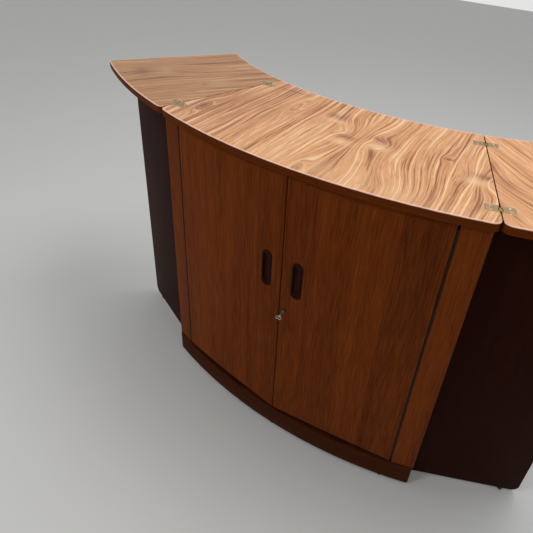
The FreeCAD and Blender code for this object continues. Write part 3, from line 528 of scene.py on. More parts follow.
def figured_laminate(name, turn, figures, stains_and_shade, shade=1.0, calm=0.0):
    """High-pressure laminate printed with a figured veneer: wandering growth lines that crowd
    together at a crotch, close round eyes and carry mauve stains; a broad stain can also be painted
    shade.  Figures and stains start with their place, in mm to the right and forwards of the middle
    of the rear edge, and their reach across and along the lines.  A figure then has how much the
    lines crowd together and how far they bend aside; a stain has its depth, and a minus makes it
    pale.  The shade darkens the whole print below one as painted shade, and lightens it above one
    as painted light."""
    material, place = finish(name)
    c = tones()
    dark, mid, light, cream, mauve = (shaded(tone, shade) for tone in (
        c.laminate_dark, c.laminate_mid, c.laminate_light, c.laminate_cream, c.laminate_mauve))
    level = node("Mapping", place, (0, 0, 0), (0, 0, turn))
    x, y, _ = node("SeparateXYZ", level).node.outputs

    def near(right, forward, wide, long):
        """One at a place of the sheet, fading to nothing; gives the fade and the way from it."""
        spot = Vector((right * MM, axis_y() - sizes().rear_radius - forward * MM, 0))
        away = node("VectorMath:SUBTRACT", level, Matrix.Rotation(turn, 3, "Z") @ spot)
        scaled = node("VectorMath:MULTIPLY", away, (1 / (wide * MM), 1 / (long * MM), 0))
        square = node("VectorMath:DOT_PRODUCT", scaled, scaled)
        return node("Math:EXPONENT", node("Math:MULTIPLY", square, -1.0)), away

    # the lines wander: swings 250 to 400 mm long, up to 5 mm aside
    slow = cloud(level, (7.0, 3.0, 0), 1.5, space="2D")
    stream = node("Math:MULTIPLY_ADD", node("Math:SUBTRACT", slow, 0.5), 0.034, x)
    for *spot, crowd, bend in figures:
        fade, away = near(*spot)
        push = node("Math:MULTIPLY_ADD", node("SeparateXYZ", away), crowd, bend * MM)
        stream = node("Math:MULTIPLY_ADD", fade, push, stream)
    chart = node("CombineXYZ", stream, y)
    # bands about 30 mm wide, growth lines about 8 mm apart and streaks of 2 mm between them
    bands = cloud(chart, (30, 1.5, 0), space="2D")
    lines = cloud(chart, (125, 2.6, 0), 3.0, 0.6, "2D")
    fine = cloud(chart, (520, 14, 0), 2.0, 0.6, "2D")
    tone = node("Math:MULTIPLY_ADD", bands, 0.55, node("Math:MULTIPLY", fine, 0.40))
    tone = node("Math:ADD", lines, tone)
    wood = node("ValToRGB", node("MapRange", tone, 0.77 - calm, 1.18 + calm), stops=(
        (0.05, dark), (0.30, mid), (0.50, light), (0.62, mid), (0.74, light), (0.98, cream)))
    # thin growth lines that follow the slow contours, 5 to 12 mm apart
    slope = cloud(chart, (48, 1.8, 0), 1.0, space="2D")
    contour = node("Math:FRACT", node("Math:MULTIPLY", slope, 9.0))
    thin = node("Math:MULTIPLY", node("MapRange", contour, 0.0, 0.22, 1.0, 0.0),
                node("MapRange", fine, 0.35, 0.65, 0.05, 0.55))
    wood = node("Mix:RGBA", thin, wood, dark)
    ragged = node("MapRange", lines, 0.3, 0.6, 1.3, 0.4)
    # each stain darkens or pales the print; a broad one can be painted shade
    for *spot, depth in stains_and_shade:
        share = node("Math:MULTIPLY", near(*spot)[0], ragged)
        share = node("Math:MULTIPLY", share, abs(depth))
        wood = node("Mix:RGBA", share, wood, mauve if depth > 0 else cream)
    # the pale rim: filed paper and a painted highlight
    wood = node("Mix:RGBA", filed_rim(place, bool(turn)), wood, c.worn)
    satin = node("MapRange", fine, 0.3, 0.7, 0.46, 0.54)
    return coated(material, wood, satin, {"Specular IOR Level": 0.3})


def veneer(name, mid, dark, upright, roughness=0.55, gloss=0.04, joint=0.0, worn=None):
    """Lacquered veneer or solid wood: fine straight grain, pores as short dark dashes and broad
    leaves of veneer a little apart in tone."""
    material, place = finish(name)
    # grain 1.8 mm wide and 70 mm long, run along the board
    long, wide = 1 / 0.070, 1 / 0.0018
    grain = cloud(place, (wide, wide, long) if upright else (long, long, wide), 4.0, 0.62)
    # plain figure: stripes 45 mm wide on a face, 17 mm high on a rail
    figure = cloud(place, (22, 22, 1.1) if upright else (2, 2, 60), 3.0, 0.55)
    share = node("Math:ADD", node("MapRange", grain, 0.36, 0.66, 0.0, 0.6),
                 node("MapRange", figure, 0.35, 0.65, 0.0, 0.3))
    if joint:
        # leaves of veneer 175 mm wide, each of its own tone
        across = node("Math:MULTIPLY_ADD", node("SeparateXYZ", place), 1 / 0.175, 0.45)
        own = node("TexWhiteNoise:1D", node("Math:FLOOR", across))
        share = node("Math:MULTIPLY_ADD", own, joint, share)
    wood = node("Mix:RGBA", share, mid, dark)
    if worn:
        wood = rubbed(place, wood, worn)
    bump = node("Bump", named={"Strength": 0.12, "Distance": 0.3 * MM, "Height": grain})
    satin = node("MapRange", grain, 0.3, 0.7, roughness - 0.03, roughness + 0.06)
    return coated(material, wood, satin, {"Normal": bump, "Specular IOR Level": gloss})


def rubbed(place, wood, worn):
    """Stained wood with its upper arris paler, partly scuffed and partly a painted highlight, but not
    in the seams, which stay dark as painted shade.
    """
    height = node("SeparateXYZ", place).node.outputs[2]
    # the pale line, scuffed wood and a painted highlight, is the top 1 mm of the edge, broken up along
    # its length
    scuff_and_highlight = node("MapRange", height, TOP_LOW.z - 1.6 * MM, TOP_LOW.z - 0.6 * MM)
    patchy = node("MapRange", cloud(place, (45, 45, 0), 3.0), 0.3, 0.6, 0.5, 1.0)
    scuff_and_highlight = node("Math:MULTIPLY", node("Math:MULTIPLY", scuff_and_highlight, patchy), off_seam(place))
    return node("Mix:RGBA", scuff_and_highlight, wood, worn)


def cut_laminate(name, pale, dark):
    """The cut edge of the laminate: pale all round, the backing papers and a painted highlight, and
    dark in the seams as painted shade.
    """
    material, place = finish(name)
    # the file leaves it uneven every 20 mm or so
    uneven = node("MapRange", cloud(place, (50, 50, 50), 3.0), 0.3, 0.7, 0.75, 1.0)
    share = node("Math:MULTIPLY", uneven, off_seam(place))
    return coated(material, node("Mix:RGBA", share, dark, pale),
                  node("MapRange", uneven, 0.7, 1.0, 0.5, 0.4))


def metal(name, tone, roughness, wear=0.25):
    """Bare metal: soft blotches of tarnish, 4 mm across, that are rougher where they are dark."""
    material, place = finish(name)
    blotch = cloud(place, (260, 260, 260), 4.0)
    share = node("MapRange", blotch, 0.42, 0.7, 0.0, wear)
    return coated(material, node("Mix:RGBA", share, tone, shaded(tone, 0.25)),
                  node("MapRange", blotch, 0.3, 0.7, roughness - 0.06, roughness + 0.12),
                  {"Metallic": 1.0})


def plastic(name, tone, roughness, gloss=0.5, sheen=(1, 1, 1, 1)):
    """Moulded plastic or cast resin, faintly uneven every 11 mm in tone and gloss."""
    material, place = finish(name)
    uneven = cloud(place, (90, 90, 90))
    return coated(material, node("Mix:RGBA", uneven, tone, shaded(tone, 1.5)),
                  node("MapRange", uneven, 0.3, 0.7, roughness, roughness + 0.06),
                  {"Specular IOR Level": gloss, "Specular Tint": sheen})


def make_finishes():
    c = tones()
    return dict(
        # a printed sheet under melamine: even satin, with its life in the print, and painted shade and
        # light where noted
        laminate_main=figured_laminate("Laminate, crotch figure", 0.0, (
            (66, 190, 48, 90, 1.6, 0), (20, 225, 22, 30, 0, 12), (122, 185, 30, 26, 0, -26),
            (10, 430, 20, 70, 0, 40), (-174, 110, 20, 85, 0, 34), (-378, 275, 17, 60, 0, 34),
            (245, 400, 90, 130, 0, -50), (282, 161, 12, 20, 0, 20), (378, 215, 32, 50, 1.4, 20)), (
            (34, 207, 30, 13, 1.0), (30, 240, 26, 18, -0.9), (120, 166, 34, 20, 1.0),
            (125, 212, 28, 18, -0.9), (-42, 100, 36, 18, 0.8), (-34, 132, 36, 14, -0.6),
            (282, 161, 12, 10, 0.8), (381, 196, 26, 14, 1.0), (368, 230, 30, 18, -0.7),
            (-378, 285, 10, 28, 0.6), (-230, 14, 60, 10, 0.7), (9, 375, 10, 20, 0.5),
            # the first stain on the next line, broad and mauve at the rear left, is painted shade: the
            # top darker where less light falls
            (-330, 180, 170, 240, 0.5), (160, 400, 200, 60, -0.4))),
        # painted shade: the left leaf's whole print darkened to 0.64 of its tones
        laminate_left=figured_laminate("Laminate, left leaf", math.radians(36), (
            (-483, 145, 14, 30, 0, 14), (-660, 160, 50, 90, 0, 40)), (
            (-483, 145, 7, 10, 1.0), (-715, 185, 45, 24, 0.8), (-660, 130, 40, 24, -0.5),
            (-465, 105, 40, 50, -0.4)), 0.64, 0.06),
        # painted light: the right leaf's whole print lightened to 1.06 of its tones
        laminate_right=figured_laminate("Laminate, right leaf", math.radians(-48), (
            (440, 190, 40, 90, 0, 35),), ((430, 193, 20, 30, 0.6),), 1.06, 0.10),
        # papers cut through with a file, and a painted highlight: a thin pale line, dark in the seams
        # as painted shade
        laminate_edge=cut_laminate("Laminate, cut edge", c.worn, c.edge),
        # sliced veneer rubbed down under satin lacquer: close dark pores, hardly any shine
        teak_veneer=veneer("Teak veneer, satin lacquer", c.teak, c.teak_dark, True, joint=0.22),
        # the same, painted much darker: painted shade along the foot of the cabinet
        teak_plinth=veneer("Teak veneer along the plinth", shaded(c.teak, 0.3),
                           shaded(c.teak_dark, 0.4), False),
        # planed strips: the same grain with no veneer joints
        teak_solid=veneer("Solid teak strip", shaded(c.teak, 0.92), c.teak_dark, True),
        # dark stain with a pale upper line, partly scuffed and partly a painted highlight
        edge_teak=veneer("Stained teak edging", c.edge, shaded(c.edge, 0.55), False, 0.5, 0.03,
                         worn=c.worn),
        # painted shade: the gates' veneer made nearly black for the shade under the leaves, its grain
        # just seen
        gate_veneer=veneer("Sapele veneer, gloss lacquer", c.gate, shaded(c.gate, 0.5), True,
                           0.45, 0.02),
        # inner faces kept from light and hands: fresher and a little glossier
        case_board=veneer("Sapele veneer, inside", shaded(c.teak, 0.9), c.teak_dark, True, 0.5, 0.2),
        # thin bare veneer under the top: flat and dry
        core_board=veneer("Balancing veneer under the top", linear("#6E3D1C"),
                          linear("#42210D"), False, 0.6, 0.1),
        # stained blocks: even brown
        block_wood=veneer("Beech, stained", linear("#7A4A26"), linear("#50301A"), False, 0.5, 0.2),
        # poured and polished: nearly black, with a thin warm sheen on its rim
        pull_resin=plastic("Cast resin, polished", c.resin, 0.10, 0.08, linear("#FFB48C")),
        # moulded feet: dull black
        glide_plastic=plastic("Nylon, moulded", linear("#1B1B1B"), 0.45),
        # rolled brass gone dull: brown blotches on warm grey yellow
        hinge_brass=metal("Brass, dull", c.brass, 0.42, 0.5),
        # plated screw heads: the brightest specks of the hinges
        screw_steel=metal("Screw steel, bright", c.steel, 0.25),
        # chemically browned strip: a dark line in the gap
        strip_steel=metal("Strip steel, browned", linear("#2C2622"), 0.40, 0.4),
        # bare pressed steel: plain grey
        lock_steel=metal("Lock steel", linear("#8C8A86"), 0.35),
        # painted shade: brass made darker for the dark line of the seam it sits in
        link_brass=metal("Brass, grimed", linear("#8F7E58"), 0.5, 0.6),
        # brass blackened by the hand that turns the key
        ring_brass=metal("Brass, blackened", linear("#4A3622"), 0.45, 0.6),
        # plated: the one bright spot on the doors
        key_steel=metal("Nickel plate", linear("#A2988E"), 0.34, 0.2))


FINISHES = {}


def set_in_place(piece, *nodes):
    """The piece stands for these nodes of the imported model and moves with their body."""
    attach(piece, frame["nodes"][nodes[0]]["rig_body"])
    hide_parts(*nodes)


def both_sides(piece, name, node_name):
    """Set a right-hand piece and its mirror image in place; {} in the names is the side."""
    for obj, side in ((piece, "right"), (mirror_image(piece), "left")):
        obj.name = obj.data.name = name.format(side)
        set_in_place(obj, node_name.format(side))


# ---------------------------------------------------------------- the pieces

def top_plan(low, high, corners, flare=0.0):
    """Outline of one piece of the top, anticlockwise from its low front corner, with the rounds of
    its corners.  Each end is (station, gap); one with a gap is a seam, cut out for the flap hinges.
    A flare moves the centre of the front edge across the low end."""
    s = sizes()
    ends = (low, (high[0], -high[1]))
    steps = int((high[0] - low[0]) / ARC_STEP)

    def arc(radius, between, moved):
        a, b = (station + math.asin((across - moved * math.cos(station - low[0])) / radius)
                for station, across in between)
        shift = Vector((math.cos(low[0]), math.sin(low[0]))) * moved
        return [plan(a + (b - a) * i / steps, radius) + shift for i in range(steps + 1)]

    def cut_outs(end, gap, side):
        """Notches for the plates and barrels at one end, from the front to the rear."""
        half, reach, room = s.flap_length / 2, s.flap_reach, s.flap_length / 2 + 0.4 * MM
        shape = [(room, gap), (room, BARREL_ROOM), (half, BARREL_ROOM), (half, reach - 3 * MM),
                 (half - 0.9 * MM, reach - 0.9 * MM), (half - 3 * MM, reach)]
        shape += [(-along, across) for along, across in reversed(shape)]
        return [plan(end, flap + along, side * across) for flap in (s.flap_front, s.flap_rear)
                for along, across in shape] if gap else []

    fore, rear = arc(s.front_radius, ends, flare), arc(s.rear_radius, ends[::-1], 0.0)
    right = cut_outs(*high, -1)
    behind = len(fore + right)
    return soften(fore + right + rear + cut_outs(*low, 1)[::-1],
                  dict(zip((0, steps, behind, behind + steps), corners)), 8)


class BAR_OT_tops(bpy.types.Operator):
    """Build the laminate sheets of the main top and both leaves"""
    bl_idname = "bar.tops"
    bl_label = "Top and leaves"

    def execute(self, context):
        s = sizes()
        big, small, seam = s.seam_corner, s.small_corner, (s.seam, s.seam_gap)
        main = top_plan((-s.seam, s.seam_gap), seam, (big, big, small, small))
        leaf = top_plan(seam, (s.leaf_end, 0.0), (big, small, small, small), s.leaf_flare)
        for tag, side, outline in (("main_top", "main", main), ("leaf_right", "right", leaf),
                                   ("leaf_left", "left", mirrored(leaf))):
            skin = board(tag + "_sheet", "laminate_" + side, outline, flat, TOP_LOW.z, TOP_HIGH.z,
                         (0.0, 0.8 * MM), grid=0.04, edging="laminate_edge")
            set_in_place(skin, tag + "_laminate")
        return {"FINISHED"}


def extruded(name, material, outline, low, high, soft):
    """A level board or an upright post: a plan outline between two heights."""
    return board(name, material, outline, flat, low, high, (soft, soft), grid=0.25)


def heights_of(node_name):
    return [corner.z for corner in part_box(node_name)]


class BAR_OT_case(bpy.types.Operator):
    """Build the stiles, plinth, sides, back, shelf and rail with softened edges"""
    bl_idname = "bar.case"
    bl_label = "Case"

    def execute(self, context):
        s = sizes()
        outer, inner = s.side_outer, s.side_outer + s.board
        back_in = s.back_radius + s.board / 2
        stile_back = s.face_radius - s.stile_depth

        # a stile: curved face, flat back square to the seam, rounded outer corner
        slant = s.seam - s.door_end
        foot = (stile_back - s.hinge_line * math.sin(slant)) / math.cos(slant)
        face = sector(s.face_radius, stile_back, (s.door_end, s.hinge_line), (s.seam, s.side_overhang))
        face = face[:len(face) // 2]
        stile = soften(face + [plan(s.seam, stile_back, -s.side_overhang),
                               plan(s.door_end, foot, s.hinge_line)], {len(face) - 1: 6 * MM}, 8)
        side = [plan(s.seam, r, -x) for r, x in ((back_in, outer), (stile_back, outer),
                                                 (stile_back, inner), (back_in, inner))]

        def between(front, rear, off):
            """Plan of a curved board that ends so far inside each seam."""
            return sector(front, rear, (-s.seam, off), (s.seam, off))

        plinth = between(s.plinth_radius, s.plinth_radius - 25 * MM, s.side_overhang + 3 * MM)
        plinth = soften(plinth, {0: 8 * MM, len(plinth) // 2 - 1: 8 * MM}, 8)
        rail_front, eased = s.face_radius - s.board - 6 * MM, 0.5 * MM
        for name, node_name, finish_name, outline, soft in (
                ("stile_{}_post", "stile_{}", "teak_solid", stile, s.softness),
                ("side_{}_board", "side_{}", "teak_veneer", side, s.softness),
                ("plinth_board", "plinth_front", "teak_plinth", plinth, s.softness),
                ("back_curved", "back_panel", "teak_veneer",
                 between(back_in, s.back_radius, outer), eased),
                ("plinth_rear", "plinth_back", "teak_plinth",
                 between(back_in + s.board, back_in, inner), eased),
                ("shelf_board", "inner_shelf", "case_board",
                 between(stile_back - 17 * MM, back_in + MM, inner + MM), eased),
                ("rail_board", "front_rail", "case_board",
                 between(rail_front, rail_front - 30 * MM, inner + 12 * MM), eased)):
            piece = extruded(name, finish_name, outline, *heights_of(node_name.format("right")), soft)
            if "{}" in name:
                both_sides(piece, name, node_name)
            else:
                set_in_place(piece, node_name)
        return {"FINISHED"}


class BAR_OT_doors(bpy.types.Operator):
    """Build both curved doors with their solid edges and the sinkings for the fittings"""
    bl_idname = "bar.doors"
    bl_label = "Doors"

    def execute(self, context):
        s = sizes()
        low, high = heights_of("door_right_panel")
        near, far = 1.5 * MM, s.face_radius * s.door_end - s.hinge_line
        outline = ((near, low), (far, low), (far, high), (near, high))
        cover = 3.5 * MM  # of the pull's rim over the edge of its sinking
        pull = slot_shape((s.face_radius * s.pull_station, s.pull_height),
                          s.pull_width - 2 * cover, s.pull_length - 2 * cover)
        keyhole = circle((s.key_offset, s.key_height), s.ring - 0.1 * MM)
        for tag, turn, more in (("right", list, [(keyhole, -1.3 * MM)]), ("left", mirrored, [])):
            door = board("door_" + tag + "_board", "teak_veneer", turn(outline), on_arc,
                         -s.board, 0.0, (s.softness, s.softness),
                         [(turn(pull), -s.pull_depth)] + more, grid=0.03,
                         edging="teak_solid")
            set_in_place(door, "door_" + tag + "_panel", "door_" + tag + "_lipping")
        return {"FINISHED"}


class BAR_OT_pulls(bpy.types.Operator):
    """Build the let-in pulls: a rounded rim round a scooped cup"""
    bl_idname = "bar.pulls"
    bl_label = "Pulls"

    def execute(self, context):
        s = sizes()
        centre = (s.face_radius * s.pull_station, s.pull_height)
        # from the back of the cup round the rim and down into the hollow: (inwards, outwards)
        profile = ((4.6, -10.0), (3.6, -9.4), (3.5, 0.0), (0.0, 0.0), (0.15, 0.4), (0.6, 0.9),
                   (1.3, 1.4), (2.1, 1.7), (2.9, 1.8), (3.8, 1.35), (4.7, 0.4), (5.3, -0.8),
                   (5.9, -2.3), (6.7, -3.9), (7.8, -5.4), (9.3, -6.7), (11.2, -7.6), (13.4, -8.0),
                   (14.6, -8.1))
        rows = []
        for inwards, out in profile:
            away = inwards * MM
            # the lip is broader at the two ends, so the hollow is an oval
            ends = away + 1.2 * max(0.0, away - 2.1 * MM) * (out > -9)
            depth = out * (s.pull_rise / 1.8 if out > 0 else s.pull_depth / 10)
            rows.append([on_arc(p, depth) for p in slot_shape(
                centre, s.pull_width - 2 * away, s.pull_length - 2 * ends)])
        both_sides(loft("pull", rows, "pull_resin"), "pull_{}_cup", "pull_{}")
        return {"FINISHED"}


class BAR_OT_lock(bpy.types.Operator):
    """Build the ring round the keyhole and the key with its pierced bow"""
    bl_idname = "bar.lock"
    bl_label = "Keyhole and key"

    def execute(self, context):
        s = sizes()
        face = axis_y() - s.face_radius

        def turned(name, material, profile):
            """A turned piece on the key's axis: (radius, distance in front of the door) in mm."""
            return loft(name, [[Vector((p.x, face - out * MM, p.y)) for p in circle(
                (s.key_offset, s.key_height), radius * MM, 28)] for radius, out in profile], material)

        rim = s.ring / MM
        set_in_place(turned("keyhole_ring", "ring_brass", (
            (rim - 0.1, -1.3), (rim, -1.2), (rim, 0.5), (rim - 0.4, 1.0), (rim - 1.2, 1.2),
            (rim - 2.8, 1.1), (rim - 3.4, 0.7), (rim - 5.7, 0.6))), "escutcheon")

        low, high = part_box("key")
        lobe, apart, thick = 5 * MM, 4 * MM, 1.2 * MM
        middle = low.y + MM + lobe
        waist = math.acos(apart / lobe)
        bow = corner_arc((s.key_offset + apart, middle), -math.pi + waist, math.pi - waist, lobe, 22)
        bow += corner_arc((s.key_offset - apart, middle), waist, 2 * math.pi - waist, lobe, 22)
        eyes = [(circle((s.key_offset + side * apart, middle), 2.4 * MM), None) for side in (-1, 1)]
        head = board("key_bow", "key_steel", bow, flat, s.key_height - thick,
                     s.key_height + thick, (thick / 2, thick / 2), eyes)
        end, reach = (face - high.y) / MM, (face - middle) / MM - 2.5
        shank = turned("key_shank", "key_steel", (
            (1.3, end), (1.85, end + 0.6), (1.85, 0.0), (1.85, 2.4), (3.0, 2.8), (3.0, 4.0),
            (2.0, 4.4), (2.0, reach - 4), (2.6, reach - 3.4), (2.6, reach - 1.4), (1.6, reach)))
        left, right = s.key_offset - MM, s.key_offset + MM
        root, tip = high.y - 9 * MM, high.y - 4 * MM
        blade = extruded("key_bit", "key_steel", ((left, root), (right, root), (right, tip),
                         (left, tip)), s.key_height - 6.5 * MM, s.key_height, 0.2 * MM)
        nickel = join("key_nickel", [head, shank])
        # a key hangs a little in its lock: the part in front of the ring sags by 12 degrees
        sag = math.tan(math.radians(12))
        for v in nickel.data.vertices:
            v.co.z -= max(0.0, face - v.co.y) * sag
        set_in_place(join("key_nickel", [nickel, blade]), "key")
        return {"FINISHED"}


def gate_pin():
    """Plan position of the right gate's hinge axis."""
    s = sizes()
    return plan(s.seam, s.face_radius - s.stile_depth - s.hinge_line,
                -s.side_overhang - s.hinge_line)


class BAR_OT_gates(bpy.types.Operator):
    """Build the two swing-out gates"""
    bl_idname = "bar.gates"
    bl_label = "Gates"

    def execute(self, context):
        s = sizes()
        low, high = heights_of("gate_right_panel")
        near, far, proud = s.hinge_line, s.hinge_line + s.gate_width, 2 * MM
        outline = soften(((near, low), (far, low), (far, high), (near, high)), {1: s.gate_corner}, 12)
        gate = board("gate", "gate_veneer", outline,
                     hinge_frame(gate_pin(), s.seam + s.gate_turn), proud - s.board, proud,
                     (s.softness, s.softness), grid=0.25)
        both_sides(gate, "gate_{}_board", "gate_{}_panel")
        return {"FINISHED"}


def at_seam(side, rho):
    """A chart at a seam: across it, away from the front along it, and up."""
    return lambda p, z: Vector((*plan(sizes().seam, rho + p[1], side * p[0]), z))


def round_bar(chart, across, low, high, material):
    """A barrel along the seam with bevelled ends."""
    ends = ((low, 0.86), (low + 0.15 * MM, 1.0), (high - 0.15 * MM, 1.0), (high, 0.86))
    return loft("bar", [[chart((p.x, at), p.y) for p in circle((across, AXLE), BARREL * k, 14)]
                        for at, k in ends], material)


def flap_plate(chart, side):
    """A plate with its two screw holes and its barrels."""
    half, reach = sizes().flap_length / 2, sizes().flap_reach
    shape = ((PIN_OFFSET, -half), (reach, -half), (reach, half), (PIN_OFFSET, half),
             (PIN_OFFSET, LINK_ROOM), (BARREL_ROOM, LINK_ROOM), (BARREL_ROOM, -LINK_ROOM),
             (PIN_OFFSET, -LINK_ROOM))
    holes = [(circle(spot, SCREW_HEAD + 0.1 * MM, 18), None) for spot in SCREWS]
    leaf = board("leaf", "hinge_brass", soften(shape, {1: 3 * MM, 2: 3 * MM}), chart, PLATE_LOW,
                 PLATE_TOP, (0.0, 0.25 * MM), holes)
    return [leaf] + [round_bar(chart, PIN_OFFSET, *ends, "hinge_brass")
                     for ends in ((-half, -LINK_ROOM), (LINK_ROOM, half))]


def flap_screws(chart, side):
    """Two countersunk heads, their slots turned every way."""
    made = []
    for end, spot in zip((-1, 1), SCREWS):
        tilt = 0.5 + 1.1 * end + 0.7 * side
        arm = Vector((math.cos(tilt), math.sin(tilt))) * 2.7 * MM
        cross = Vector((-arm.y, arm.x)) / 6
        slot = [Vector(spot) + arm * a + cross * b for a, b in ((-1, -1), (1, -1), (1, 1), (-1, 1))]
        made.append(board("screw", "screw_steel", circle(spot, SCREW_HEAD), chart, PLATE_LOW,
                          PLATE_TOP - 0.05 * MM, (0.0, 0.35 * MM), [(slot, PLATE_TOP - 0.9 * MM)]))
    return made


def flap_link(chart, side):
    """A web with a barrel on either pin."""
    end, low, high = LINK_ROOM - 0.1 * MM, AXLE - 1.2 * MM, AXLE + 1.2 * MM
    shape = ((-PIN_OFFSET, high), (-PIN_OFFSET, low), (PIN_OFFSET, low), (PIN_OFFSET, high))
    web = board("web", "link_brass", shape, lambda p, d: chart((p[0], d), p[1]), -end, end,
                (0.1 * MM, 0.1 * MM))
    return [web] + [round_bar(chart, x, -end, end, "link_brass") for x in (-PIN_OFFSET, PIN_OFFSET)]


def at_both_flaps(make, side):
    return [part for rho in (sizes().flap_front, sizes().flap_rear)
            for part in make(at_seam(side, rho), side)]


class BAR_OT_flaps(bpy.types.Operator):
    """Build the counter-flap hinges: plates, links and slotted screws"""
    bl_idname = "bar.flaps"
    bl_label = "Flap hinges"

    def execute(self, context):
        for make, name, node_name in ((flap_plate, "flap_brass_", "flap_plates_"),
                                      (flap_screws, "flap_heads_", "flap_screws_")):
            main = at_both_flaps(make, -1)
            main += [mirror_image(part) for part in main]
            set_in_place(join(name + "main", main), node_name + "main")
            both_sides(join("leaf", at_both_flaps(make, 1)), name + "{}", node_name + "leaf_{}")
        both_sides(join("links", at_both_flaps(flap_link, 1)), "flap_bridges_{}", "flap_links_{}")
        return {"FINISHED"}


class BAR_OT_strips(bpy.types.Operator):
    """Build the long strip hinges of the doors and gates, knuckle by knuckle"""
    bl_idname = "bar.strips"
    bl_label = "Strip hinges"

    def execute(self, context):
        s = sizes()
        proud, play = 1.2 * MM, 0.15 * MM
        root, tooth, reach, thick = 2.9 * MM, 0.4 * MM, 14 * MM, 1.2 * MM
        door_pin = plan(s.door_end, s.face_radius + proud - s.knuckle)
        # which hinge, its axis, whether the leaf is fixed, its turn and the side of its strip
        for kind, pin, fixed, turn, side in (
                ("door", door_pin, True, s.door_end, 1),
                ("door", door_pin, False, s.door_end, -1),
                ("gate", gate_pin(), True, s.seam + math.pi / 2, -1),
                ("gate", gate_pin(), False, s.seam + s.gate_turn, 1)):
            low, high = heights_of(kind + "_hinge_pins")
            # an odd number of knuckles, so that the fixed leaf has both ends
            count = 2 * round((high - low) / s.knuckle_pitch) // 2 * 2 + 1
            pitch = (high - low) / count
            # the leaf is a comb whose teeth reach its own knuckles
            comb, parts = [(root, low), (reach, low), (reach, high), (root, high)], []
            for k in reversed(range(0 if fixed else 1, count, 2)):
                a, b = low + k * pitch + play, low + (k + 1) * pitch - play
                parts.append(loft("knuckle", [[flat(p, z) for p in circle(pin, s.knuckle, 12)]
                                              for z in (a, b)], "strip_steel"))
                a, b = a + play, b - play
                comb += [(root, b), (tooth, b), (tooth, a), (root, a)]
            chart = hinge_frame(pin, turn)
            parts.append(board("comb", "strip_steel", comb,
                               lambda p, d: chart((side * d, p[1]), -p[0]),
                               s.hinge_line - thick, s.hinge_line, (0.0, 0.0), grid=0.5))
            role = "fixed_{}" if fixed else "moving_{}"
            both_sides(join("strip", parts), kind + "_strip_" + role, kind + "_hinge_" + role)
        return {"FINISHED"}


class BAR_OT_carried(bpy.types.Operator):
    """Give every carried-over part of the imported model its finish"""
    bl_idname = "bar.carried"
    bl_label = "Finishes of carried-over parts"

    def execute(self, context):
        for name, obj in frame["nodes"].items():
            key = {"burr_laminate": "laminate_main"}.get(SLOTS[name], SLOTS[name])
            obj.data.materials.clear()
            obj.data.materials.append(FINISHES["teak_plinth" if name == "plinth_front" else key])
        return {"FINISHED"}


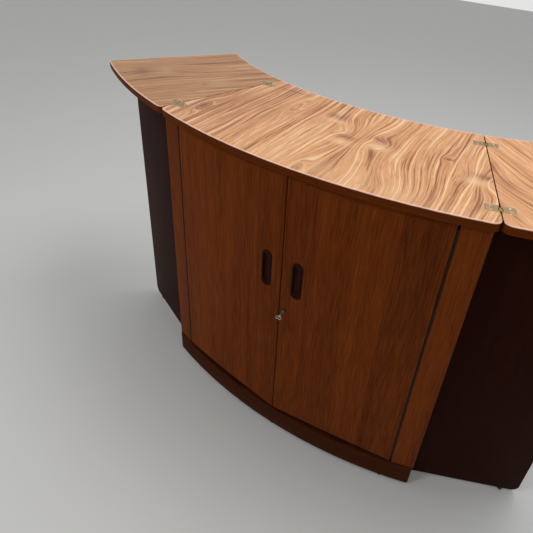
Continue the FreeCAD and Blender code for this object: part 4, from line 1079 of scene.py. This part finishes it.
class BAR_OT_studio(bpy.types.Operator):
    """Pale floor, soft lamps, pale backdrop and the camera"""
    bl_idname = "bar.studio"
    bl_label = "Studio"

    def execute(self, context):
        studio = context.scene.bar_studio
        # cast floor under matt paint: clouds 330 mm wide, barely darker
        material, place = finish("Pale floor, matt paint")
        coated(material, node("Mix:RGBA", cloud(place, (3, 3, 3), 3.0), studio.floor,
                              shaded(studio.floor, 0.97)), 0.7)
        corners = ((-9, -9, 0), (9, -9, 0), (9, 9, 0), (-9, 9, 0))
        floor = mesh_object("studio_floor", corners, [(0, 1, 2, 3)], material)

        def lamp(name, power, place, aim, width):
            data = bpy.data.lights.new(name, "AREA")
            data.size, data.energy = width, power
            obj = placed(name, data)
            obj.location = place
            obj.rotation_euler = (Vector(aim) - Vector(place)).to_track_quat("-Z", "Y").to_euler()

        lamp("overhead_lamp", studio.key, (0.8, 0.65, 3.4), (0, -0.1, 0.5), 1.6)
        lamp("front_lamp", studio.fill, (-1.1, -2.1, 3.0), (0, 0, 0.6), 0.45)

        # the pale backdrop is what the camera and the glossy finishes see; it lights nothing else
        world = bpy.data.worlds.new("Studio air")
        context.scene.world, tree = world, empty_tree(world)
        rays = node("LightPath", tree=tree).node.outputs
        seen = node("Math:MAXIMUM", rays["Is Camera Ray"], rays["Is Glossy Ray"])
        even = node("Background", (1, 1, 1, 1), studio.sky, tree=tree)
        pale = node("Background", linear("#E4E4E2"), 1.0, tree=tree)
        node("OutputWorld", node("MixShader", seen, even, pale))

        # the camera: 1.46 m up and 2.33 m ahead of the arc's axis, turned left, down and askew
        yaw, pitch, roll = -0.5032, 0.5246, 0.0807
        data = bpy.data.cameras.new("camera")
        data.lens, data.sensor_width = 32.01, 36.0
        data.shift_x, data.shift_y = -0.0592, -0.1695
        camera = placed("camera", data)
        camera.matrix_world = (
            Matrix.Translation((0.4654, axis_y() - 2.3301, 1.4601)) @ Matrix.Rotation(-yaw, 4, "Z")
            @ Matrix.Rotation(math.pi / 2 - pitch, 4, "X") @ Matrix.Rotation(roll, 4, "Z"))
        context.scene.camera = camera
        context.scene.view_settings.view_transform = "Standard"
        return {"FINISHED"}


class BAR_PT_cabinet(bpy.types.Panel):
    """Lists the cabinet's sizes, colours and building steps"""
    bl_idname = "BAR_PT_cabinet"
    bl_label = "Bar cabinet"
    bl_space_type = "VIEW_3D"
    bl_region_type = "UI"
    bl_category = "Bar cabinet"

    def draw(self, context):
        for operator in OPERATORS:
            self.layout.operator(operator.bl_idname)
        for group in GROUPS:
            box, values = self.layout.box(), getattr(context.scene, group)
            for name in values.bl_rna.properties.keys():
                if name not in ("rna_type", "name"):
                    box.prop(values, name)


GROUPS = {"bar_sizes": PlanSizes, "bar_colours": FinishColours, "bar_studio": StudioSettings}
OPERATORS = (BAR_OT_studio, BAR_OT_carried, BAR_OT_tops, BAR_OT_case, BAR_OT_doors, BAR_OT_pulls,
             BAR_OT_lock, BAR_OT_gates, BAR_OT_flaps, BAR_OT_strips)
CLASSES = (*GROUPS.values(), *OPERATORS, BAR_PT_cabinet)


def register():
    for cls in CLASSES:
        bpy.utils.register_class(cls)
    for name, group in GROUPS.items():
        setattr(bpy.types.Scene, name, bpy.props.PointerProperty(type=group))


def unregister():
    for name in GROUPS:
        delattr(bpy.types.Scene, name)
    for cls in reversed(CLASSES):
        bpy.utils.unregister_class(cls)


def main():
    register()
    FINISHES.update(make_finishes())
    for operator in OPERATORS:
        group, step = operator.bl_idname.split(".")
        getattr(getattr(bpy.ops, group), step)()
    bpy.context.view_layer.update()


if __name__ == "__main__":
    main()
